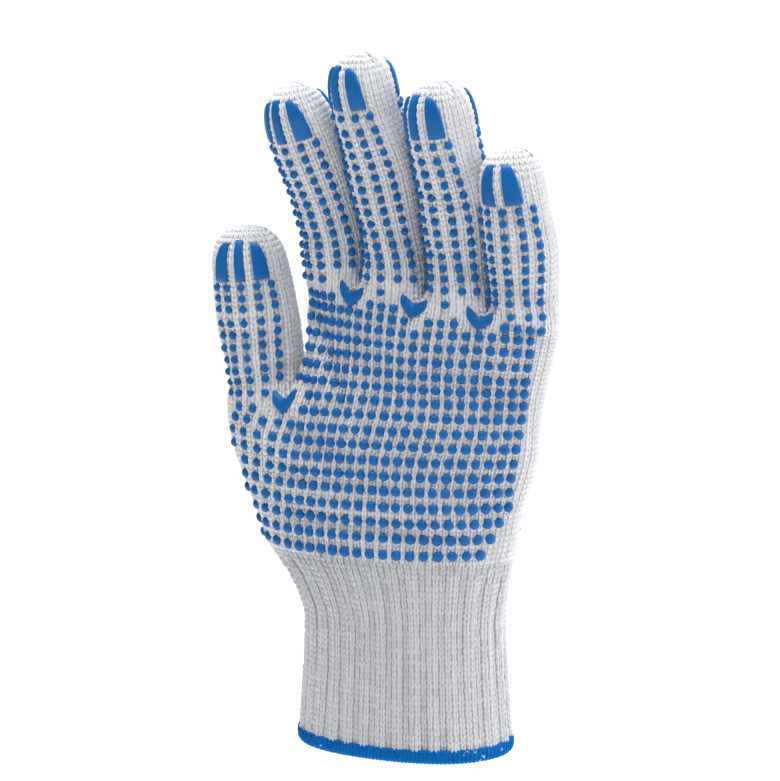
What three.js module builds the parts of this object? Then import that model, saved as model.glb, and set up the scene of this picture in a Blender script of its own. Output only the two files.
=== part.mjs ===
// A seamless string-knit work glove with PVC pads printed on both faces, in its worn form.
// Millimetres. +Z runs from the cuff's mouth to the fingertips, -Y is the palm's side, and
// the thumb is at -X. The origin is the centre of the mouth.
import * as THREE from "three";

// Driving sizes, taken outside the fabric
const CUFF_LENGTH = 69;
const PALM_LENGTH = 89;
const PALM_WIDTH = 96;
const PALM_DEPTH = 34;
const WRIST_WIDTH = 74;
const WRIST_DEPTH = 51;
const INDEX_LENGTH = 73;
const MIDDLE_LENGTH = 87.5;
const RING_LENGTH = 80.5;
const LITTLE_LENGTH = 59.5;
const FINGER_WIDTH = 23;
const FINGER_DEPTH = 24.6;
const THUMB_LENGTH = 61;
const THUMB_WIDTH = 27.4;
const THUMB_DEPTH = 25;
const KNIT_WALL = 1.8;
const RIB_PITCH = 6.6;
const RIB_HEIGHT = 0.9;
const HEM_HEIGHT = 4.7;
const HEM_WALL = 0.7;
const PRINT_HEIGHT = 0.8;
const PAD_WIDTH = 6.3;
const PAD_HEIGHT = 12.6;
const STRIPE_WIDTH = 3.2;
const STRIPE_HEIGHT = 13.4;
const PAD_SPACING = 3.4;
const LITTLE_PAD_SPACING = 3.5; // the little finger has no stripe between its two pads
const PAD_BELOW_TIP = 3;
const FORK_PATCH_WIDTH = 10.5;
const FORK_PATCH_HEIGHT = 5.6;

// Clearances between pieces
const PIECE_GAP = 0.3;
const FORK_GAP = 1.5;

// How square the flattened sections are: 2 is an ellipse
const SQUARENESS = 2.35;
// Steps in which the outline of a section's face is measured
const OUTLINE_STEPS = 96;
// Wales of the knit from one column line to the next, on a face and at its rounded edges
const FACE_WALES = 4.5;
const EDGE_WALES = 2.5;

// Sections of the hand, from the cuff up. up: share of PALM_LENGTH. centre, width: shares of
// PALM_WIDTH. depth: share of PALM_DEPTH. thumb: the share of a face that the thumb's wales
// take. forward: how far the thumb's side is drawn to the palm's side, a share of PALM_DEPTH.
// tilt: rise of the row toward the thumb, per unit of X.
const HAND_SECTIONS = [
  { up: 0, centre: -0.063, width: 0.965, depth: 1.42, thumb: 0.23, forward: 0, tilt: 0 },
  { up: 0.13, centre: -0.076, width: 1.055, depth: 1.4, thumb: 0.235, forward: 0.02, tilt: 0 },
  { up: 0.27, centre: -0.078, width: 1.125, depth: 1.36, thumb: 0.24, forward: 0.08, tilt: 0 },
  { up: 0.43, centre: -0.079, width: 1.21, depth: 1.29, thumb: 0.255, forward: 0.16, tilt: 0 },
  { up: 0.6, centre: -0.083, width: 1.255, depth: 1.18, thumb: 0.3, forward: 0.2, tilt: 0 },
];
// The same above the thumb's fork, where the section holds the four fingers alone
const KNUCKLE_SECTIONS = [
  { up: 0.8, centre: 0.096, width: 0.945, depth: 1.02, forward: 0, tilt: 0.05 },
  { up: 1.0, centre: 0.112, width: 1.0, depth: 1.0, forward: 0, tilt: 0.15 },
];
// How far the floor of each fork dips between its front and back points, a share of PALM_DEPTH
const FORK_DIP = 0.12;

// lean: degrees from upright toward the little finger. curl: degrees toward the palm's side.
// Both are given at the base, at a third, at two thirds and at the tip. twist: degrees by which
// the knit tube has turned on the finger at the tip.
const DIGITS = [
  { name: "thumb", length: THUMB_LENGTH, lean: [-9, -8, -3, -1], curl: [0, 6, 10, 6], twist: 11 },
  { name: "index", length: INDEX_LENGTH, lean: [-3, -7, -12, -8], curl: [0, 12, 26, 12], twist: -22 },
  { name: "middle", length: MIDDLE_LENGTH, lean: [-1, -5, -6, -1], curl: [0, 12, 24, 8], twist: -34 },
  { name: "ring", length: RING_LENGTH, lean: [-1, -2, -3, -4], curl: [0, 10, 22, 8], twist: -30 },
  { name: "little", length: LITTLE_LENGTH, lean: [-2, -3, -3, -3], curl: [0, 8, 14, 6], twist: -5 },
];
// Sections of a digit's shaft. up: share of the shaft, which ends one width below the tip.
// wide, deep: shares of the digit's width and depth.
const SHAFT_SECTIONS = [
  { up: 0.16, wide: 0.97, deep: 1.02 },
  { up: 0.44, wide: 0.98, deep: 1.0 },
  { up: 0.72, wide: 1.02, deep: 0.99 },
  { up: 1.0, wide: 1.02, deep: 0.95 },
];
// Sections of a digit's tip. below: distance under the tip, a share of the digit's width.
const TIP_SECTIONS = [
  { below: 0.42, wide: 1.0, deep: 0.9 },
  { below: 0.12, wide: 0.82, deep: 0.7 },
];
const TIP_RIDGE = { below: -0.1, wide: 0.32 };

// Sections of the cuff, from its mouth up. up: share of CUFF_LENGTH. centre, width: shares of
// WRIST_WIDTH. depth: share of WRIST_DEPTH.
const CUFF_SECTIONS = [
  { up: 0, centre: 0, width: 1.065, depth: 1.05 },
  { up: 0.2, centre: 0, width: 1.035, depth: 1.04 },
  { up: 0.45, centre: 0, width: 1.0, depth: 1.0 },
  { up: 0.7, centre: -0.004, width: 0.99, depth: 0.98 },
  { up: 0.87, centre: -0.036, width: 1.1, depth: 0.97 },
];

const FRONT_COLUMNS = 10; // two for each digit, from the thumb (0) to the little finger (10)
const RING_COLUMNS = 8; // around one digit

const cotton = new THREE.MeshStandardMaterial({ color: 0xdfe1e4, roughness: 0.95 });
const elasticCotton = new THREE.MeshStandardMaterial({ color: 0xe3e5e8, roughness: 0.95 });
const blueYarn = new THREE.MeshStandardMaterial({ color: 0x2a6cc0, roughness: 0.85 });
const bluePvc = new THREE.MeshStandardMaterial({ color: 0x1a5aa8, roughness: 0.45 });

// Control cage of the hand. A face is a list of corners [point, around, up], which hold its
// place on the knit: columns around the tube, and millimetres up the tube from its base.
const cage = { points: [], faces: [] };

function addPoint(x, y, z) {
  cage.points.push(new THREE.Vector3(x, y, z));
  return cage.points.length - 1;
}

// Joins two rings of the same columns. A ring is a list of { point, around } and its height.
function bridge(island, low, high) {
  low.columns.forEach((column, k) => {
    const next = (k + 1) % low.columns.length;
    const { around } = column;
    cage.faces.push({
      island,
      corners: [
        [column.point, around, low.up],
        [low.columns[next].point, around + 1, low.up],
        [high.columns[next].point, around + 1, high.up],
        [high.columns[k].point, around, high.up],
      ],
    });
  });
}

// Point at a share, 0 to 1, of the length of a line of points.
function alongLine(line, share) {
  const lengths = [0];
  for (let k = 1; k < line.length; k++) lengths.push(lengths[k - 1] + line[k].distanceTo(line[k - 1]));
  const reach = share * lengths[lengths.length - 1];
  const k = Math.max(1, lengths.findIndex((length) => length >= reach - 1e-9));
  return line[k - 1].clone().lerp(line[k], (reach - lengths[k - 1]) / (lengths[k] - lengths[k - 1]));
}

// Share of a face's outline, from the thumb's edge, at which a front or back column lies.
function columnShare(column, thumb) {
  const fingers = (FRONT_COLUMNS - 2) * FACE_WALES + EDGE_WALES;
  const fromThumb = (column - 2) * FACE_WALES;
  if (thumb === undefined) return (EDGE_WALES + fromThumb) / (EDGE_WALES + fingers);
  if (column > 2) return thumb + ((1 - thumb) * fromThumb) / fingers;
  return (thumb * (EDGE_WALES + column * FACE_WALES)) / (EDGE_WALES + 2 * FACE_WALES);
}

// Point of a flattened section at a share of its face; side is -1 on the palm, 1 on the back.
function sectionPoint(section, share, side) {
  const halfWidth = (section.width * PALM_WIDTH) / 2;
  const halfDepth = (section.depth * PALM_DEPTH) / 2;
  const outline = [];
  for (let k = 0; k <= OUTLINE_STEPS; k++) {
    const across = -Math.cos((Math.PI * k) / OUTLINE_STEPS);
    const rise = Math.sin((Math.PI * k) / OUTLINE_STEPS);
    const power = 2 / SQUARENESS;
    const x = Math.sign(across) * Math.abs(across) ** power * halfWidth;
    outline.push(new THREE.Vector2(x, rise ** power * halfDepth));
  }
  const at = alongLine(outline, share);
  const thumbSide = ((1 - at.x / halfWidth) / 2) ** 2;
  return addPoint(
    section.centre * PALM_WIDTH + at.x,
    side * at.y - section.forward * PALM_DEPTH * thumbSide,
    CUFF_LENGTH + section.up * PALM_LENGTH - section.tilt * at.x,
  );
}

function handRow(section) {
  const first = section.thumb === undefined ? 2 : 0;
  const row = { up: section.up * PALM_LENGTH, front: [], back: [] };
  for (let column = first; column <= FRONT_COLUMNS; column++) {
    const share = columnShare(column, section.thumb);
    row.front[column] = sectionPoint(section, share, -1);
    row.back[column] = sectionPoint(section, share, 1);
  }
  row.leftEdge = sectionPoint(section, 0, 0);
  row.rightEdge = sectionPoint(section, 1, 0);
  return row;
}

// Ring around the hand from front column `first`, counter-clockwise seen from above the palm.
function ringOfRow(row, first, leftPoint) {
  const columns = [];
  const backStart = FRONT_COLUMNS + 2;
  for (let c = first; c <= FRONT_COLUMNS; c++) columns.push({ point: row.front[c], around: c });
  columns.push({ point: row.rightEdge, around: FRONT_COLUMNS + 1 });
  for (let c = FRONT_COLUMNS; c >= first; c--)
    columns.push({ point: row.back[c], around: backStart + FRONT_COLUMNS - c });
  columns.push({ point: leftPoint, around: first - 1 });
  return { up: row.up, columns };
}

// Ring of a digit over front columns `first` to first + 2 of the row that it grows from.
function digitBase(row, first, left, right) {
  const points = [
    left, row.front[first], row.front[first + 1], row.front[first + 2],
    right, row.back[first + 2], row.back[first + 1], row.back[first],
  ];
  return { up: 0, columns: points.map((point, k) => ({ point, around: k - 1 })) };
}

// Midpoint of a fork, under the line from its front point to its back point.
function forkPoint(row, column) {
  const middle = cage.points[row.front[column]].clone().add(cage.points[row.back[column]]);
  return addPoint(middle.x / 2, middle.y / 2, middle.z / 2 - FORK_DIP * PALM_DEPTH);
}

const degrees = THREE.MathUtils.degToRad;

// Control points of a ring around a digit, in half widths and half depths from its left side.
// The smooth surface passes through an ellipse beside them, with its wales evenly spread.
const RING_WALES = 4 * (FACE_WALES + EDGE_WALES);
const cornerAngle = (2 * Math.PI * EDGE_WALES) / RING_WALES;
const cornerX = (6 * Math.cos(cornerAngle) - 1.5) / 3.5;
const cornerY = (6 * Math.sin(cornerAngle) - 1.5) / 3.5;
const sideX = 1.5 - cornerX / 2;
const middleY = 1.5 - cornerY / 2;
const RING_CONTROLS = [
  [-sideX, 0], [-cornerX, -cornerY], [0, -middleY], [cornerX, -cornerY],
  [sideX, 0], [cornerX, cornerY], [0, middleY], [-cornerX, cornerY],
];

// Value at a share, 0 to 1, of a list of values that are evenly spread.
function blend(values, share) {
  const reach = Math.min(Math.max(share, 0), 1) * (values.length - 1);
  const k = Math.min(Math.floor(reach), values.length - 2);
  return values[k] + (values[k + 1] - values[k]) * (reach - k);
}

// Frame across a digit at a share of its length: along it, across it and toward the back.
function digitFrame(digit, share) {
  const lean = degrees(blend(digit.lean, share));
  const curl = degrees(blend(digit.curl, share));
  const along = new THREE.Vector3(Math.sin(lean), -Math.sin(curl), Math.cos(lean) * Math.cos(curl));
  along.normalize();
  const back = new THREE.Vector3(0, 1, 0).addScaledVector(along, -along.y).normalize();
  const across = new THREE.Vector3().crossVectors(back, along);
  return { along, across, back };
}

// Points of one digit from its base ring to the ridge over its tip.
function growDigit(digit, base) {
  const thick = digit.name === "thumb" ? THUMB_WIDTH : FINGER_WIDTH;
  const deep = digit.name === "thumb" ? THUMB_DEPTH : FINGER_DEPTH;
  const shaft = digit.length - thick;
  const stations = [
    ...SHAFT_SECTIONS.map((s) => ({ ...s, at: s.up * shaft })),
    ...TIP_SECTIONS.map((s) => ({ ...s, at: digit.length - s.below * thick })),
    { ...TIP_RIDGE, deep: 0, at: digit.length - TIP_RIDGE.below * thick },
  ];
  const centre = new THREE.Vector3();
  base.columns.forEach(({ point }) => centre.addScaledVector(cage.points[point], 1 / RING_COLUMNS));
  let reached = 0;
  let ring = base;
  for (const station of stations) {
    const { along } = digitFrame(digit, (reached + station.at) / 2 / digit.length);
    centre.addScaledVector(along, station.at - reached);
    reached = station.at;
    const { across, back } = digitFrame(digit, station.at / digit.length);
    const turn = degrees(digit.twist) * (station.at / digit.length);
    const place = (sideways, backward) => {
      const p = centre.clone();
      p.addScaledVector(across, Math.cos(turn) * sideways - Math.sin(turn) * backward);
      p.addScaledVector(back, Math.sin(turn) * sideways + Math.cos(turn) * backward);
      return addPoint(p.x, p.y, p.z);
    };
    if (station.deep === 0) {
      const ridge = [-1, 0, 1].map((side) => place((side * station.wide * thick) / 2, 0));
      closeTip(digit.name, ring, ridge, station.at);
    } else {
      const columns = base.columns.map(({ around }) => {
        const [x, y] = RING_CONTROLS[around + 1];
        const point = place((x * station.wide * thick) / 2, (y * station.deep * deep) / 2);
        return { point, around };
      });
      const high = { up: station.at, columns };
      bridge(digit.name, ring, high);
      ring = high;
    }
  }
}

// Closes a tip: the front and back wales meet on a short ridge.
function closeTip(island, ring, ridge, up) {
  const corner = (k, lift = 0) => [ring.columns[k % RING_COLUMNS].point, k - 1, ring.up + lift];
  const top = (k, around) => [ridge[k], around, up];
  const faces = [
    [corner(1), corner(2), top(1, 1), top(0, 0)],
    [corner(2), corner(3), top(2, 2), top(1, 1)],
    [corner(5), corner(6), top(1, 5), top(2, 4)],
    [corner(6), corner(7), top(0, 6), top(1, 5)],
    [corner(0), corner(1), top(0, 0)],
    [corner(7), corner(8), top(0, 6)],
    [corner(3), corner(4), top(2, 2)],
    [corner(4), corner(5), top(2, 4)],
  ];
  faces.forEach((corners) => cage.faces.push({ island, corners }));
}

function buildCage() {
  const rows = HAND_SECTIONS.map(handRow);
  const rings = rows.map((row) => ringOfRow(row, 0, row.leftEdge));
  for (let k = 1; k < rings.length; k++) bridge("hand", rings[k - 1], rings[k]);

  const split = rows[rows.length - 1];
  const thumbFork = forkPoint(split, 2);
  const knuckles = KNUCKLE_SECTIONS.map(handRow);
  let low = ringOfRow(split, 2, thumbFork);
  for (const row of knuckles) {
    const high = ringOfRow(row, 2, row.leftEdge);
    bridge("hand", low, high);
    low = high;
  }

  const top = knuckles[knuckles.length - 1];
  const forks = [4, 6, 8].map((column) => forkPoint(top, column));
  const sides = [top.leftEdge, ...forks, top.rightEdge];
  growDigit(DIGITS[0], digitBase(split, 0, split.leftEdge, thumbFork));
  for (let k = 1; k < DIGITS.length; k++)
    growDigit(DIGITS[k], digitBase(top, 2 * k, sides[k - 1], sides[k]));
}

const edgeKey = (a, b) => (a < b ? a * 1e6 + b : b * 1e6 + a);

// One Catmull-Clark step: each face becomes quads, and every point moves to its rounded place.
function subdivide({ points, faces }) {
  const middle = (list) => {
    const sum = new THREE.Vector3();
    list.forEach((p) => sum.add(p));
    return sum.divideScalar(list.length);
  };
  const facePoints = faces.map(({ corners }) => middle(corners.map(([p]) => points[p])));
  const edges = new Map();
  const around = points.map(() => ({ faces: [], edges: new Set() }));
  faces.forEach(({ corners }, f) => {
    corners.forEach(([p], k) => {
      const q = corners[(k + 1) % corners.length][0];
      const key = edgeKey(p, q);
      if (!edges.has(key)) edges.set(key, { ends: [p, q], faces: [] });
      edges.get(key).faces.push(f);
      around[p].faces.push(f);
      around[p].edges.add(key);
      around[q].edges.add(key);
    });
  });
  const made = [];
  points.forEach((point, p) => {
    const rims = [...around[p].edges].map((key) => edges.get(key));
    const open = rims.filter((edge) => edge.faces.length === 1);
    const other = (edge) => points[edge.ends[0] === p ? edge.ends[1] : edge.ends[0]];
    const moved = point.clone();
    if (open.length) {
      moved.multiplyScalar(6).add(other(open[0])).add(other(open[1])).divideScalar(8);
    } else {
      const n = rims.length;
      const q = middle(around[p].faces.map((f) => facePoints[f]));
      const r = middle(rims.map((edge) => other(edge).clone().add(point).divideScalar(2)));
      moved.multiplyScalar(n - 3).add(q).addScaledVector(r, 2).divideScalar(n);
    }
    made.push(moved);
  });
  for (const edge of edges.values()) {
    const ends = edge.ends.map((p) => points[p]);
    edge.made = made.length;
    made.push(edge.faces.length === 1 ? middle(ends)
      : middle([...ends, ...edge.faces.map((f) => facePoints[f])]));
  }
  const quads = [];
  faces.forEach(({ island, corners }, f) => {
    const centre = made.length;
    made.push(facePoints[f]);
    const halfway = (a, b) => [(a[1] + b[1]) / 2, (a[2] + b[2]) / 2];
    const mean = [1, 2].map((k) => corners.reduce((sum, c) => sum + c[k], 0) / corners.length);
    corners.forEach((corner, k) => {
      const next = corners[(k + 1) % corners.length];
      const last = corners[(k + corners.length - 1) % corners.length];
      quads.push({
        island,
        corners: [
          corner,
          [edges.get(edgeKey(corner[0], next[0])).made, ...halfway(corner, next)],
          [centre, ...mean],
          [edges.get(edgeKey(last[0], corner[0])).made, ...halfway(last, corner)],
        ],
      });
    });
  });
  return { points: made, faces: quads };
}

// Moves the points of a quad mesh to the smooth surface that further steps would close in on.
function toLimit({ points, faces }) {
  const near = points.map(() => ({ edges: new Map(), across: [] }));
  faces.forEach(({ corners }) => {
    corners.forEach(([p], k) => {
      const next = corners[(k + 1) % 4][0];
      const last = corners[(k + 3) % 4][0];
      near[p].across.push(corners[(k + 2) % 4][0]);
      for (const q of [next, last]) near[p].edges.set(q, (near[p].edges.get(q) ?? 0) + 1);
    });
  });
  const moved = points.map((point, p) => {
    const { edges, across } = near[p];
    const open = [...edges].filter(([, count]) => count === 1).map(([q]) => q);
    const limit = point.clone();
    if (open.length) {
      limit.multiplyScalar(4);
      open.forEach((q) => limit.add(points[q]));
      return limit.divideScalar(6);
    }
    const n = edges.size;
    limit.multiplyScalar(n * n);
    for (const q of edges.keys()) limit.addScaledVector(points[q], 4);
    across.forEach((q) => limit.add(points[q]));
    return limit.divideScalar(n * (n + 5));
  });
  return { points: moved, faces };
}

function normalsOf({ points, faces }) {
  const normals = points.map(() => new THREE.Vector3());
  for (const { corners } of faces) {
    const [a, b, c, d] = corners.map(([p]) => points[p]);
    const diagonal = c.clone().sub(a);
    const normal = diagonal.cross(d.clone().sub(b));
    corners.forEach(([p]) => normals[p].add(normal));
  }
  return normals.map((n) => n.normalize());
}

function geometryOf(points, triangles) {
  const geometry = new THREE.BufferGeometry();
  geometry.setAttribute("position", new THREE.Float32BufferAttribute(
    points.flatMap((p) => [p.x, p.y, p.z]), 3));
  geometry.setIndex(triangles.flat());
  geometry.computeVertexNormals();
  return geometry;
}

// Hollow wall: the outer surface, the same surface drawn in by the wall, and the rim between them.
function knitShell(surface, wall, rimHeight) {
  const { points, faces } = surface;
  const count = points.length;
  const normals = normalsOf(surface);
  const isRim = (p) => Math.abs(p.z - rimHeight) < 1e-3;
  const inner = points.map((p, k) => {
    const inward = normals[k].clone();
    if (isRim(p)) inward.setZ(0).normalize();
    return p.clone().addScaledVector(inward, -wall);
  });
  const triangles = [];
  const sides = new Map();
  for (const { corners } of faces) {
    const [a, b, c, d] = corners.map(([p]) => p);
    triangles.push([a, b, c], [a, c, d]);
    triangles.push([b + count, a + count, c + count], [c + count, a + count, d + count]);
    for (const [p, q] of [[a, b], [b, c], [c, d], [d, a]])
      if (!sides.delete(`${q},${p}`)) sides.set(`${p},${q}`, [p, q]);
  }
  for (const [p, q] of sides.values())
    triangles.push([q, p, p + count], [q, p + count, q + count]);
  return geometryOf([...points, ...inner], triangles);
}

// Evenly spaced points on a closed loop of points.
function evenLoop(loop, count) {
  const lengths = [0];
  loop.forEach((p, k) => lengths.push(lengths[k] + p.distanceTo(loop[(k + 1) % loop.length])));
  const total = lengths[loop.length];
  const points = [];
  for (let k = 0, s = 0; k < count; k++) {
    const reach = (total * k) / count;
    while (lengths[s + 1] < reach) s++;
    const part = (reach - lengths[s]) / (lengths[s + 1] - lengths[s]);
    points.push(loop[s].clone().lerp(loop[(s + 1) % loop.length], part));
  }
  return points;
}

// The cuff takes its shape from the hand's lower rim, and narrows to the wrist under it.
function rimOf(surface, height) {
  const loop = surface.points.filter((p) => Math.abs(p.z - height) < 1e-3);
  loop.sort((p, q) => Math.atan2(p.y, p.x) - Math.atan2(q.y, q.x));
  const box = new THREE.Box3().setFromPoints(loop);
  const size = box.getSize(new THREE.Vector3());
  return { loop, centre: (box.min.x + box.max.x) / 2, halfWidth: size.x / 2, halfDepth: size.y / 2 };
}

// Sizes of the cuff at a height, between the rows of its table and the hand's rim.
function cuffAt(rim, z) {
  const rows = CUFF_SECTIONS.map(({ up, centre, width, depth }) => ({
    z: up * CUFF_LENGTH,
    centre: centre * WRIST_WIDTH,
    halfWidth: (width * WRIST_WIDTH) / 2,
    halfDepth: (depth * WRIST_DEPTH) / 2,
  }));
  rows.push({ ...rim, z: CUFF_LENGTH });
  const k = Math.max(1, rows.findIndex((row) => row.z >= z));
  const [low, high] = [rows[k - 1], rows[k]];
  const part = (z - low.z) / (high.z - low.z);
  const value = (name) => low[name] + (high[name] - low[name]) * part;
  return { centre: value("centre"), halfWidth: value("halfWidth"), halfDepth: value("halfDepth") };
}

// One ring of the cuff or its hem, offset outward from the cuff's mean surface.
function cuffRing(rim, z, offset, ribHeight) {
  const { centre, halfWidth, halfDepth } = cuffAt(rim, z);
  const loop = rim.loop.map((p) => new THREE.Vector3(
    ((p.x - rim.centre) * (halfWidth + offset)) / rim.halfWidth,
    (p.y * (halfDepth + offset)) / rim.halfDepth,
    0,
  ));
  const ribs = Math.round((Math.PI * (WRIST_WIDTH + WRIST_DEPTH)) / 2 / RIB_PITCH);
  return evenLoop(loop, 2 * ribs).map((p, k) => {
    const rib = (ribHeight / 2) * (k % 2 ? -1 : 1);
    p.multiplyScalar(1 + rib / p.length());
    return p.add(new THREE.Vector3(centre, 0, z));
  });
}

// Closed skin through rings that run once around a profile: the last ring joins the first.
function ringSolid(rings) {
  const size = rings[0].length;
  const triangles = [];
  rings.forEach((_, r) => {
    const low = r * size;
    const high = ((r + 1) % rings.length) * size;
    for (let k = 0; k < size; k++) {
      const next = (k + 1) % size;
      triangles.push([low + k, low + next, high + next], [low + k, high + next, high + k]);
    }
  });
  return geometryOf(rings.flat(), triangles);
}

function ribCuff(rim) {
  const bottom = HEM_WALL + PIECE_GAP;
  const top = CUFF_LENGTH - PIECE_GAP;
  const heights = [bottom, HEM_HEIGHT, ...CUFF_SECTIONS.slice(1).map((s) => s.up * CUFF_LENGTH), top];
  // The ribs fade out where the hem binds them and where the hand begins
  const ribAt = (z) => (z > HEM_HEIGHT && z < top ? RIB_HEIGHT : 0);
  const outer = heights.map((z) => cuffRing(rim, z, 0, ribAt(z)));
  const inner = heights.map((z) => cuffRing(rim, z, -KNIT_WALL, ribAt(z))).reverse();
  return ringSolid([...outer, ...inner]);
}

// The overlocked edge: a channel of thread that wraps the bottom of the cuff. Its profile is
// how far out and how high each point lies, around a wall of thread.
function overlockHem(rim) {
  const outside = PIECE_GAP;
  const inside = -KNIT_WALL - PIECE_GAP;
  const profile = [
    [0, outside + HEM_WALL * 0.6],
    [HEM_HEIGHT * 0.3, outside + HEM_WALL],
    [HEM_HEIGHT * 0.8, outside + HEM_WALL],
    [HEM_HEIGHT, outside + HEM_WALL * 0.4],
    [HEM_HEIGHT, outside],
    [HEM_WALL, outside],
    [HEM_WALL, inside],
    [HEM_HEIGHT, inside],
    [HEM_HEIGHT, inside - HEM_WALL * 0.4],
    [HEM_HEIGHT * 0.8, inside - HEM_WALL],
    [0, inside - HEM_WALL * 0.6],
  ];
  return ringSolid(profile.map(([z, offset]) => cuffRing(rim, z, offset, 0)));
}

// Finds the place of knit coordinates on the smooth surface: a point and its outward normal.
function surfaceFinder(surface) {
  const normals = normalsOf(surface);
  return (island, around, up) => {
    for (const face of surface.faces) {
      if (face.island !== island) continue;
      const [a, b, c, d] = face.corners;
      const du = b[1] - a[1];
      const dv = d[2] - a[2];
      const s = Math.abs(du) > 1e-9 ? (around - a[1]) / du : (around - a[1]) / (d[1] - a[1]);
      const t = Math.abs(dv) > 1e-9 ? (up - a[2]) / dv : (up - a[2]) / (b[2] - a[2]);
      if (s < -1e-6 || s > 1 + 1e-6 || t < -1e-6 || t > 1 + 1e-6) continue;
      const [first, second] = Math.abs(du) > 1e-9 ? [s, t] : [t, s];
      const mix = (list) => {
        const low = list[a[0]].clone().lerp(list[b[0]], first);
        return low.lerp(list[d[0]].clone().lerp(list[c[0]], first), second);
      };
      return { point: mix(surface.points), normal: mix(normals).normalize() };
    }
    throw new Error(`no surface at ${island} ${around} ${up}`);
  };
}

// Thin printed solid over a grid of places on the knit, raised clear of it by a gap.
function printSolid(grid, gap) {
  const rows = grid.length;
  const columns = grid[0].length;
  const at = (r, c) => r * columns + c;
  const places = grid.flat();
  const layer = (height) =>
    places.map(({ point, normal }) => point.clone().addScaledVector(normal, height));
  const count = places.length;
  const triangles = [];
  for (let r = 0; r + 1 < rows; r++)
    for (let c = 0; c + 1 < columns; c++) {
      const [p, q, s, t] = [at(r, c), at(r, c + 1), at(r + 1, c + 1), at(r + 1, c)];
      triangles.push([p + count, q + count, s + count], [p + count, s + count, t + count]);
      triangles.push([q, p, s], [s, p, t]);
    }
  const rim = [];
  for (let c = 0; c < columns - 1; c++) rim.push(at(0, c));
  for (let r = 0; r < rows - 1; r++) rim.push(at(r, columns - 1));
  for (let c = columns - 1; c > 0; c--) rim.push(at(rows - 1, c));
  for (let r = rows - 1; r > 0; r--) rim.push(at(r, 0));
  rim.forEach((p, k) => {
    const q = rim[(k + 1) % rim.length];
    triangles.push([p, q, q + count], [p, q + count, p + count]);
  });
  return geometryOf([...layer(gap), ...layer(gap + PRINT_HEIGHT)], triangles);
}

// Rows of a fingertip's pads. up: share of the pad's height. share: the part of PAD_WIDTH that is
// left there, from the straight edge that faces the stripe.
const PAD_ROWS = [
  { up: 0, share: 1 },
  { up: 0.3, share: 0.99 },
  { up: 0.6, share: 0.82 },
  { up: 0.85, share: 0.55 },
  { up: 1, share: 0.3 },
];

function tipPad(place, digit, centre, kind) {
  const width = digit.name === "thumb" ? THUMB_WIDTH : FINGER_WIDTH;
  const column = (Math.PI * width * FACE_WALES) / RING_WALES;
  const stripe = kind === "stripe";
  const height = stripe ? STRIPE_HEIGHT : PAD_HEIGHT;
  const inner = digit.name === "little" ? LITTLE_PAD_SPACING / 2 : STRIPE_WIDTH / 2 + PAD_SPACING;
  const bottom = digit.length - PAD_BELOW_TIP - STRIPE_HEIGHT;
  const grid = PAD_ROWS.map(({ up, share }) => {
    const edges = stripe ? [-STRIPE_WIDTH / 2, 0, STRIPE_WIDTH / 2]
      : [0, 0.5, 1].map((part) => inner + part * share * PAD_WIDTH);
    const row = edges.map((edge) => (kind === "left" ? -edge : edge));
    if (kind === "left") row.reverse();
    return row.map((edge) => place(digit.name, centre + edge / column, bottom + up * height));
  });
  return printSolid(grid, PIECE_GAP);
}

// A boomerang of print in a fork: its arms climb on both sides, its point hangs on the hand.
// low and high: the patch's lower and upper edge, as [side, across, up], where across is a share
// of the patch's width from the fork, and up a share of its height above the fork.
const FORK_ROWS = [
  { low: ["left", -0.5, 0.42], high: ["left", -0.32, 0.64] },
  { low: ["hand", -0.42, -0.06], high: ["left", -0.14, 0.36] },
  { low: ["hand", -0.16, -0.62], high: ["hand", -0.03, -0.04] },
  { low: ["hand", 0.16, -0.62], high: ["hand", 0.03, -0.04] },
  { low: ["hand", 0.42, -0.06], high: ["right", 0.14, 0.36] },
  { low: ["right", 0.5, 0.42], high: ["right", 0.32, 0.64] },
];
const SPLIT_HEIGHT = HAND_SECTIONS[HAND_SECTIONS.length - 1].up * PALM_LENGTH;
const FORKS = [
  { name: "thumb", column: 2, up: SPLIT_HEIGHT, left: "thumb", right: "hand" },
  { name: "index", column: 4, up: PALM_LENGTH, left: "index", right: "middle" },
  { name: "middle", column: 6, up: PALM_LENGTH, left: "middle", right: "ring" },
  { name: "ring", column: 8, up: PALM_LENGTH, left: "ring", right: "little" },
];

function forkPatch(place, fork, face) {
  const columnWidth = PALM_WIDTH / (FRONT_COLUMNS - 2);
  const grid = ["low", "high"].map((edge) => FORK_ROWS.map((row) => {
    const [side, across, share] = row[edge];
    const island = side === "hand" ? "hand" : fork[side];
    const digitColumn = side === "left" ? 2 : 0;
    const column = island === "hand" ? fork.column : digitColumn;
    const mirrored = island === "hand" ? 2 * FRONT_COLUMNS + 2 : RING_COLUMNS - 2;
    const around = column + (across * FORK_PATCH_WIDTH) / columnWidth;
    const up = (island === "hand" ? fork.up : 0) + share * FORK_PATCH_HEIGHT;
    return place(island, face === "palm" ? around : mirrored - around, up);
  }));
  return printSolid(face === "palm" ? grid : grid.reverse(), FORK_GAP);
}

buildCage();
const coarse = subdivide(cage);
const outer = toLimit(coarse);
const fine = toLimit(subdivide(subdivide(coarse)));
const place = surfaceFinder(fine);

const glove = new THREE.Group();
function addPiece(name, geometry, material) {
  const mesh = new THREE.Mesh(geometry, material);
  mesh.name = name;
  glove.add(mesh);
}

addPiece("knit_hand", knitShell(outer, KNIT_WALL, CUFF_LENGTH), cotton);
const rim = rimOf(outer, CUFF_LENGTH);
addPiece("rib_cuff", ribCuff(rim), elasticCotton);
addPiece("overlock_hem", overlockHem(rim), blueYarn);

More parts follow.
